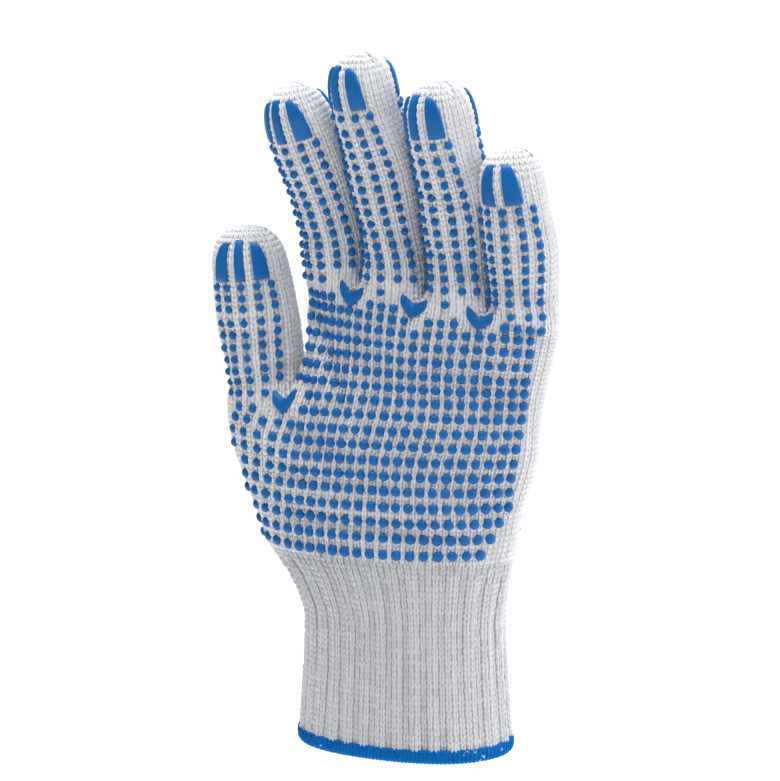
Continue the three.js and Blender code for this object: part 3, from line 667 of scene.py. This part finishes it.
def knit_tree():
    """Lays a stitch in every cell of a part of the map and bends it onto the cloth."""
    start, size = new_tree("knit stitches", {
        "Cloth": "Object", "Stitch": "Object", "Yarn": "Material", "First wale": "Float",
        "Wales": "Int", "First course": "Float", "Courses": "Int", "Course": "Float",
        "Reach": "Float", "Unevenness": "Float"})
    read = cloth_reader(start, size["Cloth"])
    cells = start.node("GeometryNodeMeshGrid", {
        "Size X": size["Wales"] - 1, "Size Y": (size["Courses"] - 1) * size["Course"],
        "Vertices X": size["Wales"], "Vertices Y": size["Courses"]})
    middle = start.node("ShaderNodeCombineXYZ", {
        "X": size["First wale"] + size["Wales"] * 0.5,
        "Y": size["First course"] + size["Courses"] * size["Course"] * 0.5})
    cells = start.node("GeometryNodeTransform", {"Geometry": cells, "Translation": middle})
    spot = start.node("GeometryNodeInputPosition", {})
    normal = start.node("GeometryNodeInputNormal", {})
    cells = store(on_cloth(cells, read, spot.scaled(1 / ATLAS)), "cell", spot)
    stretch = start.node("ShaderNodeCombineXYZ", {
        "X": uneven(size["Unevenness"], 5), "Y": size["Course"], "Z": uneven(size["Unevenness"], 9)})
    made = start.node("GeometryNodeInstanceOnPoints", {
        "Points": cells, "Instance": size["Stitch"], "Scale": stretch})
    made = start.node("GeometryNodeRealizeInstances", {"Geometry": made})

    # Each point of a stitch goes to its own place on the map. Where the map ends before that, it
    # goes to a place nearer the middle of its cell, or else to the middle.
    cell = attribute(start, "cell")
    here = start.node("ShaderNodeSeparateXYZ", {0: spot})
    here_y = here.out("Y")
    cell_x = start.node("ShaderNodeSeparateXYZ", {0: cell})
    cell_y = cell_x.out("Y")
    beside = start.node("ShaderNodeClamp", {
        "Value": here - cell_x, "Min": 0 - size["Reach"], "Max": size["Reach"]})
    own, nearer = (start.node("ShaderNodeCombineXYZ", {"X": cell_x + beside, "Y": y})
                   for y in (here_y, cell_y + (here_y - cell_y) * 0.45))

    def under(value):
        found, nearer_one, own_one = (
            read(value, place.scaled(1 / ATLAS)) for place in (cell, nearer, own))
        for better in (nearer_one, own_one):
            found = start.node("GeometryNodeSwitch", {
                "Switch": better.out("Is Valid"), "False": found, "True": better}, input_type="VECTOR")
        return found

    made = moved(made, under(spot), under(normal).scaled(here.out("Z") * MM))
    return end_tree(made, size["Yarn"])


def run_tree(name, tree, settings, mesh=None):
    """A plain mesh object made by a tree with its named inputs set."""
    made = new_object(name, mesh or bpy.data.meshes.new(name))
    modifier = made.modifiers.new(name, "NODES")
    modifier.node_group = tree
    for item in tree.interface.items_tree:
        if item.item_type == "SOCKET" and item.in_out == "INPUT" and item.name in settings:
            modifier[item.identifier] = settings[item.name]
    return finished(made)


knit = knit_tree()
hand_knit = {
    "Cloth": cloth, "Stitch": stitch, "Yarn": cotton, "Course": COURSE, "Reach": 0.49,
    "Unevenness": 0.17}
HAND_KNIT = {  # first wale, wales, first course in millimetres, courses
    "palm_stitches": (0, 50, 0, 45),
    "palm_finger_stitches": (0, 50, 90, 48),
    "back_stitches": (50, 50, 0, 45),
    "back_finger_stitches": (50, 50, 90, 48),
    "finger_side_stitches": (110, 76, 52, 66),
}
for name, (wale, wales, course, courses) in HAND_KNIT.items():
    piece = run_tree(name, knit, {
        **hand_knit, "First wale": float(wale), "Wales": wales, "First course": float(course),
        "Courses": courses})
    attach(piece, "root")
piece = run_tree("cuff_stitches", knit, {
    **hand_knit, "Cloth": cuff, "Yarn": rib_yarn_painted_shade, "First wale": 0.0, "Wales": CUFF_WALES,
    "First course": 3.9, "Courses": 33, "Unevenness": 0.3})
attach(piece, "root")

# --- Printed dots -------------------------------------------------------------------------------
# Round beads of soft blue PVC, screen printed in rows on both faces of the finished glove while it
# lies flat, and cured. Each is a low dome 3 to 4 mm wide that has soaked a little into the yarn.
HEEL_DOT, KNUCKLE_DOT, FINGER_DOT, DOT_HEIGHT = 3.7, 3.15, 2.85, 1.6  # widths and height
DOT_RINGS = [(0.94, -0.2), (1.0, 0.22), (0.87, 0.58), (0.5, 0.89)]  # shares of width and height
DOT_SIDES = 12
PALM_COLUMN, PALM_ROWS = 4.45, 18  # millimetres from column to column, and rows from the wrist up
FIRST_ROW, LAST_ROW = 3.0, PALM_LENGTH - 1.4  # heights on the palm
ROW_CLOSING = 0.13  # how much closer than the middle rows the top rows are
FINGER_COLUMN, FINGER_ROW = 6.0, 4.35  # millimetres between columns and rows on the digits
FINGER_COLUMNS = (-1.85, -0.95, 0, 0.95, 1.85)  # places of the columns, in columns
STRIPE_HEIGHT, PAD_BELOW_TIP, DOT_BELOW_PAD = 13.4, 3.0, 2.5  # the pads above the digits' dots
PRINT_LIFT = 0.3  # the print lies on the yarn, this far over the cloth that carries it
BACK_EDGE = 43.3  # the palm's wale beyond which nothing is printed on the back


def dot_shape():
    """A dome with a closed foot."""
    sides = DOT_SIDES
    points = [(r * math.cos(math.tau * k / sides), r * math.sin(math.tau * k / sides), z)
              for r, z in DOT_RINGS for k in range(sides)]
    points.append((0, 0, 1.0))
    last = len(points) - 1 - sides
    polygons = [(r + k, r + (k + 1) % sides, r + sides + (k + 1) % sides, r + sides + k)
                for r in range(0, last, sides) for k in range(sides)]
    polygons += [(last + k, last + (k + 1) % sides, last + sides) for k in range(sides)]
    polygons.append(tuple(range(sides))[::-1])
    return points, polygons


def wale_width(up):
    """Millimetres from wale to wale on the palm, at a height on it."""
    sections = HAND_SECTIONS + KNUCKLE_SECTIONS
    widths = [face_outline(section)[2][-1] * (
        1 / (FINGERS_WALES + EDGE_WALES) if section["thumb"] is None
        else (1 - section["thumb"]) / FINGERS_WALES) for section in sections]
    return float(np.interp(up, [section["up"] * PALM_LENGTH for section in sections], widths))


def ramp(value, start, end):
    """From 0 at the start to 1 at the end."""
    return min(1, max(0, (value - start) / (end - start)))


FORKS = {  # wale and height of each fork
    "thumb": (9, SPLIT), "index": (18, PALM_LENGTH), "middle": (27, PALM_LENGTH),
    "ring": (36, PALM_LENGTH),
}


def near_patch(wale, up):
    """Whether a dot would run into the V that is printed in a fork."""
    return any(abs(wale - fork_wale) < 2.6 - 0.2 * max(0, fork_up - up) and -5.4 < up - fork_up < 4.6
               for fork_wale, fork_up in FORKS.values())


def back_wale(wale):
    """The wale of the back that lies behind one of the palm."""
    return BACK + RIGHT - wale


def dot_places():
    """Places on the map of one face's dots, as (wale, height, width)."""
    places = []
    for row in range(PALM_ROWS):
        share = row / (PALM_ROWS - 1)
        up = FIRST_ROW + (LAST_ROW - FIRST_ROW) * share * (1 + ROW_CLOSING - ROW_CLOSING * share)
        step = (PALM_COLUMN + 0.45 * (1 - ramp(up, 0, 28))) / wale_width(up)  # wider at the heel
        bunched = 0.13 * ramp(up, 40, 60)  # the worn palm folds between thumb and index finger
        rounded = (1.6, 0.9, 0.4, 0)[min(row, 3)] * step  # the print's lower corner
        for k in range(-16, 13):
            wale = 24.5 + k * step
            # The thumb's side is drawn out, and the rows rise with the sloping knuckles.
            wale -= 0.036 * max(0, 13 - wale) ** 2 * (1 - bunched * 7.5)
            wale += bunched * max(0, 19 - wale)
            raised = max(0, 12 - wale) * 0.12 + max(0, wale - 30) * 0.08 * (1 - ramp(up, 0, 40))
            raised = up + raised + 0.32 * ramp(wale, 27, 39) * max(0, up - 66)
            inside = (0.8 if up < SPLIT - 2 else 9.9) < wale < 44.8 - rounded and raised < PALM_LENGTH
            if inside and not near_patch(wale, raised):
                places.append((wale, raised, HEEL_DOT + (KNUCKLE_DOT - HEEL_DOT) * share))
    for name, digit in DIGITS.items():
        bottom = SPLIT + 2.5 if name == "thumb" else PALM_LENGTH + 3
        top = digit["root"] + digit["length"] - PAD_BELOW_TIP - STRIPE_HEIGHT - DOT_BELOW_PAD
        rows = round((top - bottom) / FINGER_ROW)
        wale_size = math.pi * (THUMB_WIDTH if name == "thumb" else FINGER_WIDTH) / DIGIT_WALES
        for r in range(rows + 1):
            up = top - r * (top - bottom) / rows
            for k in FINGER_COLUMNS:
                wale = FACE_WALES * (digit["first"] + 1) + k * FINGER_COLUMN / wale_size
                if not near_patch(wale, up):
                    places.append((wale, up, FINGER_DOT))
    return places


def dot_tree():
    """Sets a dome on the cloth at each place of the map, upright on it and a little uneven."""
    start, size = new_tree("printed dots", {
        "Cloth": "Object", "Dot": "Object", "Print": "Material", "Height": "Float", "Lift": "Float",
        "Unevenness": "Float"})
    read = cloth_reader(start, size["Cloth"])
    spot = start.node("GeometryNodeInputPosition", {})
    normal = start.node("GeometryNodeInputNormal", {})
    flat = spot.scaled(1 / ATLAS)
    dots = store(start, "upright", read(normal, flat))
    dots = store(dots, "width", start.node("ShaderNodeSeparateXYZ", {0: spot}).out("Z"), "FLOAT")
    upright, width = attribute(start, "upright"), attribute(start, "width", "FLOAT")
    dots = moved(on_cloth(dots, read, flat), read(spot, flat), upright.scaled(size["Lift"] * MM))
    turn = start.node("FunctionNodeAlignRotationToVector", {"Vector": upright}, axis="Z")
    across, along, high = (uneven(size["Unevenness"], seed) * MM for seed in (2, 3, 4))
    scale = start.node("ShaderNodeCombineXYZ", {
        "X": across * width * 0.5, "Y": along * width * 0.5, "Z": high * size["Height"]})
    made = start.node("GeometryNodeInstanceOnPoints", {
        "Points": dots, "Instance": size["Dot"], "Rotation": turn, "Scale": scale})
    return end_tree(made, size["Print"])


pvc, shader, place = new_material("printed PVC", 0.38)
shader.inputs["Specular IOR Level"].default_value = 0.28
tone = noise(place, 90, 2) * 0.7 + noise(place, 900, 3) * 0.4
connect(blend(tone, (0.002, 0.1, 0.34, 1), (0.008, 0.18, 0.54, 1)), shader, "Base Color")
connect(noise(place, 700, 3) * 0.25 + 0.22, shader, "Roughness")
bump(noise(place, 800, 3), shader, 0.3, 0.0003)

dot = mesh_object("dot", *dot_shape())
dots = dot_tree()
palm_print = dot_places()
back_print = [(back_wale(wale), up, width) for wale, up, width in palm_print if wale < BACK_EDGE]
for name, places in (("palm_dots", palm_print), ("back_dots", back_print)):
    piece = run_tree(name, dots, {
        "Cloth": cloth, "Dot": dot, "Print": pvc, "Height": DOT_HEIGHT, "Lift": PRINT_LIFT,
        "Unevenness": 0.09}, new_mesh(name, places, []))
    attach(piece, "root")

# --- Tip pads and fork patches --------------------------------------------------------------------
# Solid fields of the same PVC: on each fingertip two D shapes with a stripe between them, and in
# each fork a small V. Printed with the dots, with soft rounded edges.
PRINT_HEIGHT, PRINT_FOOT = 1.15, -0.3
PRINT_EDGE = (0.45, 0.88, 1.0)  # share of the height at the rim, one step in and two steps in
PAD_WIDTH, PAD_HEIGHT, STRIPE_WIDTH = 6.0, 12.6, 3.2
PAD_SPACING, LITTLE_PAD_SPACING = 3.4, 3.5
PAD_OUTLINE = [  # share of the height and of the width
    (0, 0.94), (0.06, 1.0), (0.3, 1.0), (0.6, 0.94), (0.85, 0.76), (0.95, 0.56), (1, 0.36)]
PAD_ACROSS = (0, 0.06, 0.2, 0.5, 0.8, 0.94, 1)  # points from side to side, close at the edges
PAD_ALONG = np.interp(range(13), [0, 1, 2, 10, 11, 12], [0, 0.04, 0.12, 0.88, 0.96, 1])


def print_field(rows, mirrored):
    """A flat field on the map from rows of (wale, height), with a low rounded edge."""
    rows = [[(back_wale(w), u) for w, u in row] if mirrored else row for row in rows]
    across, along = len(rows[0]), len(rows)
    points, polygons = [], []
    for r, row in enumerate(rows):
        for c, (wale, up) in enumerate(row):
            inward = min(r, c, along - 1 - r, across - 1 - c, 2)
            points.append((wale, up, PRINT_EDGE[inward] * PRINT_HEIGHT))
    count = len(points)
    points += [(wale, up, PRINT_FOOT) for row in rows for wale, up in row]
    for r in range(along - 1):
        for c in range(across - 1):
            p = r * across + c
            polygons.append((p, p + 1, p + across + 1, p + across))
            polygons.append((p + count, p + across + count, p + across + 1 + count, p + 1 + count))
    border = list(range(across)) + [r * across + across - 1 for r in range(1, along)]
    border += [(along - 1) * across + c for c in range(across - 2, -1, -1)]
    border += [r * across for r in range(along - 2, 0, -1)]
    for p, q in zip(border, border[1:] + border[:1]):
        polygons.append((q, p, p + count, q + count))
    return points, [p[::-1] for p in polygons] if mirrored else polygons


def pad_rows(name, kind):
    """Rows of one pad of a fingertip, from its lower edge up."""
    digit = DIGITS[name]
    wale = math.pi * (THUMB_WIDTH if name == "thumb" else FINGER_WIDTH) / DIGIT_WALES
    centre = FACE_WALES * (digit["first"] + 1)
    height = STRIPE_HEIGHT if kind == "stripe" else PAD_HEIGHT
    bottom = digit["root"] + digit["length"] - PAD_BELOW_TIP - STRIPE_HEIGHT
    inner = LITTLE_PAD_SPACING / 2 if name == "little" else STRIPE_WIDTH / 2 + PAD_SPACING
    rows = []
    for up in PAD_ALONG:
        share = float(np.interp(up, *zip(*PAD_OUTLINE)))
        if kind == "stripe":
            edges = [(s - 0.5) * STRIPE_WIDTH for s in PAD_ACROSS]
        else:
            edges = [inner + s * share * PAD_WIDTH for s in PAD_ACROSS]
        if kind == "left":
            edges = [-e for e in edges[::-1]]
        rows.append([(centre + e / wale, bottom + up * height) for e in edges])
    return rows


# The V's lower and upper edge from one arm's end to the other: across as a share of its width
# from the fork, up as a share of its height.
FORK_EDGES = [
    ((-0.44, 0.46), (-0.38, 0.54)), ((-0.43, 0.18), (-0.24, 0.38)), ((-0.35, -0.12), (-0.14, 0.22)),
    ((-0.2, -0.5), (-0.06, 0.09)), ((0, -0.84), (0, 0.02)), ((0.2, -0.5), (0.06, 0.09)),
    ((0.35, -0.12), (0.14, 0.22)), ((0.43, 0.18), (0.24, 0.38)), ((0.44, 0.46), (0.38, 0.54)),
]
FORK_ACROSS = (0, 0.1, 0.3, 0.5, 0.7, 0.9, 1)  # rows from the lower to the upper edge
FORK_ALONG = 25  # points in a row
FORK_PATCH_WIDTH, FORK_PATCH_HEIGHT = 10.5, 5.6


def fork_rows(name):
    """Rows of a fork's V, from its lower edge to its upper edge."""
    wale, up = FORKS[name]
    wales = FORK_PATCH_WIDTH * FACE_WALES / (PALM_WIDTH / (COLUMNS - 2))
    steps = np.linspace(0, len(FORK_EDGES) - 1, FORK_ALONG)
    edges = np.array(FORK_EDGES).reshape(len(FORK_EDGES), 4)
    edges = np.array([np.interp(steps, range(len(FORK_EDGES)), column) for column in edges.T]).T
    rows = []
    for share in FORK_ACROSS:
        mixed = edges[:, :2] * (1 - share) + edges[:, 2:] * share
        rows.append([(wale + across * wales, up + high * FORK_PATCH_HEIGHT) for across, high in mixed])
    return rows


def wrap_tree():
    """Bends a flat print, whose heights are in millimetres, from the map onto the cloth."""
    start, size = new_tree("print on cloth", {"Cloth": "Object", "Lift": "Float", "Print": "Material"})
    read = cloth_reader(start, size["Cloth"])
    spot = start.node("GeometryNodeInputPosition", {})
    normal = start.node("GeometryNodeInputNormal", {})
    here = start.node("ShaderNodeSeparateXYZ", {0: spot})
    flat = start.node("ShaderNodeCombineXYZ", {"X": here / ATLAS, "Y": here.out("Y") / ATLAS})
    rise = read(normal, flat).scaled((here.out("Z") + size["Lift"]) * MM)
    return end_tree(moved(on_cloth(start, read, flat), read(spot, flat), rise), size["Print"])


wrap = wrap_tree()
for face_name, mirrored in (("palm", False), ("back", True)):
    fields = {}
    for name in DIGITS:
        for kind in ("left", "right") if name == "little" else ("left", "stripe", "right"):
            fields[f"{name}_pad_{kind}_{face_name}"] = pad_rows(name, kind)
    for name in FORKS:
        fields[f"{name}_fork_patch_{face_name}"] = fork_rows(name)
    for node, field in fields.items():
        flat_print = new_mesh(node, *print_field(field, mirrored))
        piece = run_tree(
            node + "_print", wrap, {"Cloth": cloth, "Lift": PRINT_LIFT, "Print": pvc}, flat_print)
        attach(piece, "root")
        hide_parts(node)

# --- Overlocked hem -------------------------------------------------------------------------------
# Blue thread wound over the raw edge of the cuff's mouth by an overlock machine: slanting loops
# close side by side, with the needle thread's saw-tooth stitches along their upper ends.
HEM_LOOPS, STEPS_PER_LOOP = 72, 4  # pairs of thread loops round the mouth, and points to a pair
HEM_STEPS = HEM_LOOPS * STEPS_PER_LOOP
HEM_PATH_HEIGHT = 2.0  # the height on the cuff whose outline the hem follows
HEM_PROFILE = [  # distance out from the cuff and height, from the outside round to the inside
    (0.35, 4.9), (0.62, 3.9), (0.72, 2.6), (0.66, 1.3), (0.2, 0.3),
    (-0.8, -0.1), (-1.8, 0.3), (-2.3, 1.4), (-2.4, 3.0), (-2.2, 4.4),
]
hem_yarn, shader, place = new_material("hem thread", 0.8)
shader.inputs["Specular IOR Level"].default_value = 0.06
tone = noise(place, 900, 3) * 0.8 + noise(place, 120, 2) * 0.3
blue = blend(tone, (0.001, 0.11, 0.38, 1), (0.006, 0.22, 0.64, 1))
nicks = place.node("ShaderNodeValToRGB", {"Fac": noise(place, 330, 2)},
                   stops=[(0.67, (0, 0, 0)), (0.73, (1, 1, 1))])
connect(blend(nicks, blue, (0.7, 0.8, 0.92, 1)), shader, "Base Color")
bump(noise(place, 2200, 3), shader, 0.5, 0.0004)


def hem_point(step, out, z):
    """A place beside the cuff's mouth; out is the distance from the cuff's surface."""
    here, before, after = (np.array(cuff_point(((step + d) % HEM_STEPS) / HEM_STEPS, HEM_PATH_HEIGHT))
                           for d in (0, -1, 1))
    along = (after - before) / np.linalg.norm(after - before)
    return (here[0] + along[1] * out * MM, here[1] - along[0] * out * MM, z * MM)


# The hem laid out for the threads overlaps itself by a pair of loops at each end, so that the last
# loop closes on the first.
lengths = [0]
for (x0, z0), (x1, z1) in zip(HEM_PROFILE, HEM_PROFILE[1:]):
    lengths.append(lengths[-1] + math.hypot(x1 - x0, z1 - z0))
laid_steps = HEM_STEPS + 2 * STEPS_PER_LOOP
grid = [hem_point(k - STEPS_PER_LOOP, out, z)
        for k in range(laid_steps + 1) for out, z in HEM_PROFILE]
size = len(HEM_PROFILE)
polygons, places = [], []
for k in range(laid_steps):
    left, right = k / STEPS_PER_LOOP, (k + 1) / STEPS_PER_LOOP
    for j, (low, high) in enumerate(zip(lengths, lengths[1:])):
        first = k * size + j
        polygons.append((first + 1, first + size + 1, first + size, first))
        places += [(left, high), (right, high), (right, low), (left, low)]
hem_cloth = mesh_object("hem_cloth", grid, polygons, places)
shade_smooth(hem_cloth)

grid = [hem_point(k, out, z) for k in range(HEM_STEPS) for out, z in HEM_PROFILE]
polygons = []
for k in range(HEM_STEPS):
    after = (k + 1) % HEM_STEPS
    for j in range(size):
        beside = (j + 1) % size
        polygons.append((k * size + beside, after * size + beside, after * size + j, k * size + j))
hem = mesh_object("overlock_hem_band", grid, polygons)
shade_smooth(hem)
hem.data.materials.append(hem_yarn)
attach(hem, "root")
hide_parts("overlock_hem")


LOOP_WIDTH, THREAD_HALF, THREAD_LIFT = 3, 0.42, 0.06  # millimetres
THREAD_TOPS, THREAD_END, THREAD_SLANT = (-0.55, -0.49), 0.42, 0.22  # of the profile, of a loop
THREAD_RINGS, THREAD_SIDES, THREAD_TIP = 9, 5, 0.55  # the last is an end's thickness


def thread_shape():
    """Two slanting threads over the hem, one reaching higher on the cuff than the other."""
    points, polygons, sides = [], [], THREAD_SIDES
    for across, top in zip((-0.25, 0.25), THREAD_TOPS):
        start = len(points)
        for r in range(THREAD_RINGS):
            share = r / (THREAD_RINGS - 1)
            half = THREAD_HALF * (THREAD_TIP if r in (0, THREAD_RINGS - 1) else 1)
            for turn in range(sides):
                angle = math.tau * turn / sides
                points.append((
                    across + THREAD_SLANT * (0.5 - share) + math.cos(angle) * half / LOOP_WIDTH,
                    top + (THREAD_END - top) * share, THREAD_LIFT + math.sin(angle) * half))
        last = len(points) - sides
        for r in range(start, last, sides):
            polygons += [(r + k, r + k + sides, r + (k + 1) % sides + sides, r + (k + 1) % sides)
                         for k in range(sides)]
        polygons.append(tuple(range(start, start + sides)))
        polygons.append(tuple(range(last, last + sides))[::-1])
    return points, polygons


thread = mesh_object("thread", *thread_shape())
piece = run_tree("overlock_threads", knit, {
    "Cloth": hem_cloth, "Stitch": thread, "Yarn": hem_yarn, "First wale": 1.0, "Wales": HEM_LOOPS,
    "First course": 0.0, "Courses": 1, "Course": lengths[-1], "Reach": 0.8, "Unevenness": 0.05})
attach(piece, "root")

# --- Fuzz -----------------------------------------------------------------------------------------
# Short fibres that stand loose from the cotton yarn all over the glove, as on any worn string knit.
FIBRE_LENGTH, FIBRE_THICKNESS = 1.5, 0.05
FIBRE_SPINE = [(0, 0, -0.15), (0.06, 0, 0.3), (0.3, 0.05, 0.75), (0.75, 0.2, 1.0)]  # of length 1
FIBRE_LEAN, FIBRE_GROWN = (0.9, 0.9, 3.14), (0.4, 1.1)  # most, in radians; least and most length
LOOSE_COTTON, LOOSE_THREAD = 60000.0, 220000.0  # fibres on a square metre


def fibre_shape():
    """A loose fibre: a thin three-sided thread that bends over."""
    half = FIBRE_THICKNESS / FIBRE_LENGTH / 2
    points = [(x + half * math.cos(math.tau * k / 3), y + half * math.sin(math.tau * k / 3), z)
              for x, y, z in FIBRE_SPINE for k in range(3)]
    last = len(points) - 3
    polygons = [(r + k, r + (k + 1) % 3, r + 3 + (k + 1) % 3, r + 3 + k)
                for r in range(0, last, 3) for k in range(3)]
    return points, polygons + [(2, 1, 0), (last, last + 1, last + 2)]


def fuzz_tree():
    """Scatters fibres over a cloth, leaning every way."""
    start, size = new_tree("fuzz", {
        "Cloth": "Object", "Fibre": "Object", "Yarn": "Material", "Per square metre": "Float",
        "Length": "Float"})
    roots = start.node("GeometryNodeDistributePointsOnFaces", {
        "Mesh": size["Cloth"], "Density": size["Per square metre"], "Seed": 3})
    lean = start.node("FunctionNodeRandomValue", {
        0: tuple(-angle for angle in FIBRE_LEAN), 1: FIBRE_LEAN, "Seed": 7}, data_type="FLOAT_VECTOR")
    turn = start.node("FunctionNodeRotateRotation", {
        "Rotation": roots.out("Rotation"), "Rotate By": lean}, rotation_space="LOCAL")
    length = start.node("FunctionNodeRandomValue", {
        2: FIBRE_GROWN[0], 3: FIBRE_GROWN[1], "Seed": 8}, data_type="FLOAT", output=1)
    length = length * size["Length"] * MM
    scale = start.node("ShaderNodeCombineXYZ", {"X": length, "Y": length, "Z": length})
    made = start.node("GeometryNodeInstanceOnPoints", {
        "Points": roots, "Instance": size["Fibre"], "Rotation": turn, "Scale": scale})
    return end_tree(made, size["Yarn"], smooth=False)


fibre = mesh_object("fibre", *fibre_shape())
fuzz = fuzz_tree()
for name, surface, yarn, density, slot in (
        ("hand_fuzz", cloth, cotton, LOOSE_COTTON, "cotton_knit"),
        ("cuff_fuzz", cuff, rib_yarn_painted_shade, LOOSE_COTTON, "elastic_rib"),
        ("hem_fuzz", hem_cloth, hem_yarn, LOOSE_THREAD, "hem_thread")):
    piece = run_tree(name, fuzz, {
        "Cloth": surface, "Fibre": fibre, "Yarn": yarn, "Per square metre": density,
        "Length": FIBRE_LENGTH})
    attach(piece, "root")

# --- Floor, light and camera ----------------------------------------------------------------------
# A white paper floor that bends up behind into a wall. A large soft lamp hangs above, a second one
# stands at the right behind the glove, and a faint one in front. Sizes here are in metres.
FLOOR_HEIGHT, FLOOR_FRONT, FLOOR_HALF, WALL_TOP = -0.3, -3, 4, 3.0
BEND_START, BEND_RADIUS, BEND_STEPS = 1.2, 0.6, 12
bend = [math.pi / 2 * k / BEND_STEPS for k in range(1, BEND_STEPS + 1)]
sweep = [(FLOOR_FRONT, FLOOR_HEIGHT), (BEND_START, FLOOR_HEIGHT)]
sweep += [(BEND_START + BEND_RADIUS * math.sin(angle),
           FLOOR_HEIGHT + BEND_RADIUS - BEND_RADIUS * math.cos(angle)) for angle in bend]
sweep.append((BEND_START + BEND_RADIUS, WALL_TOP))
ground = mesh_object(
    "floor", [(x, y, z) for y, z in sweep for x in (-FLOOR_HALF, FLOOR_HALF)],
    [(2 * k, 2 * k + 1, 2 * k + 3, 2 * k + 2) for k in range(len(sweep) - 1)])
shade_smooth(ground)
paper, shader, _ = new_material("white paper", 0.9)
shader.inputs["Base Color"].default_value = (0.93, 0.93, 0.935, 1)
shader.inputs["Emission Color"].default_value = (1, 1, 1, 1)
shader.inputs["Emission Strength"].default_value = 0.5
ground.data.materials.append(paper)
world = bpy.data.worlds.new("studio")
world.use_nodes = True
sky = world.node_tree.nodes["Background"]
sky.inputs["Color"].default_value = (1, 1, 1, 1)
sky.inputs["Strength"].default_value = 0.15
bpy.context.scene.world = world
bpy.context.scene.view_settings.view_transform = "Standard"


def aim(thing, place, target):
    """Sets a lamp or the camera in its place, looking at the target."""
    thing.location = place
    thing.rotation_euler = (target - thing.location).to_track_quat("-Z", "Y").to_euler()


for name, place, width, power in (
        ("top", (0.05, -0.1, 1.3), 1.1, 21), ("right", (1.15, 0.4, 0.55), 0.8, 6),
        ("front", (-0.6, -1.3, 0.6), 0.9, 0.4)):
    lamp = bpy.data.lights.new(name, "AREA")
    lamp.size, lamp.energy = width, power
    aim(new_object(name, lamp), place, Vector((0, 0, 0.12)))

VIEW_TURN, VIEW_RISE, VIEW_DISTANCE, VIEW_HEIGHT = math.radians(26), math.radians(7.5), 0.85, 0.124
PIXEL, FRAME = 0.3506 * MM, 781  # a pixel's size on the glove; pixels along the longer side
SHIFT_X, SHIFT_Y = -15, 5.8  # pixels
target = Vector((0, 0, VIEW_HEIGHT))
camera_data = bpy.data.cameras.new("camera")
camera_data.lens = camera_data.sensor_width * VIEW_DISTANCE / (PIXEL * FRAME)
camera_data.shift_x, camera_data.shift_y = SHIFT_X / FRAME, SHIFT_Y / FRAME
camera = new_object("camera", camera_data)
level = math.cos(VIEW_RISE)
aim(camera, target + VIEW_DISTANCE * Vector((
    math.sin(VIEW_TURN) * level, -math.cos(VIEW_TURN) * level, math.sin(VIEW_RISE))), target)
bpy.context.scene.camera = camera

# The cloths and the single stitches that the trees copied aren't pieces of the glove.
for helper in (cloth, cuff, stitch, dot, hem_cloth, thread, fibre):
    bpy.data.objects.remove(helper)
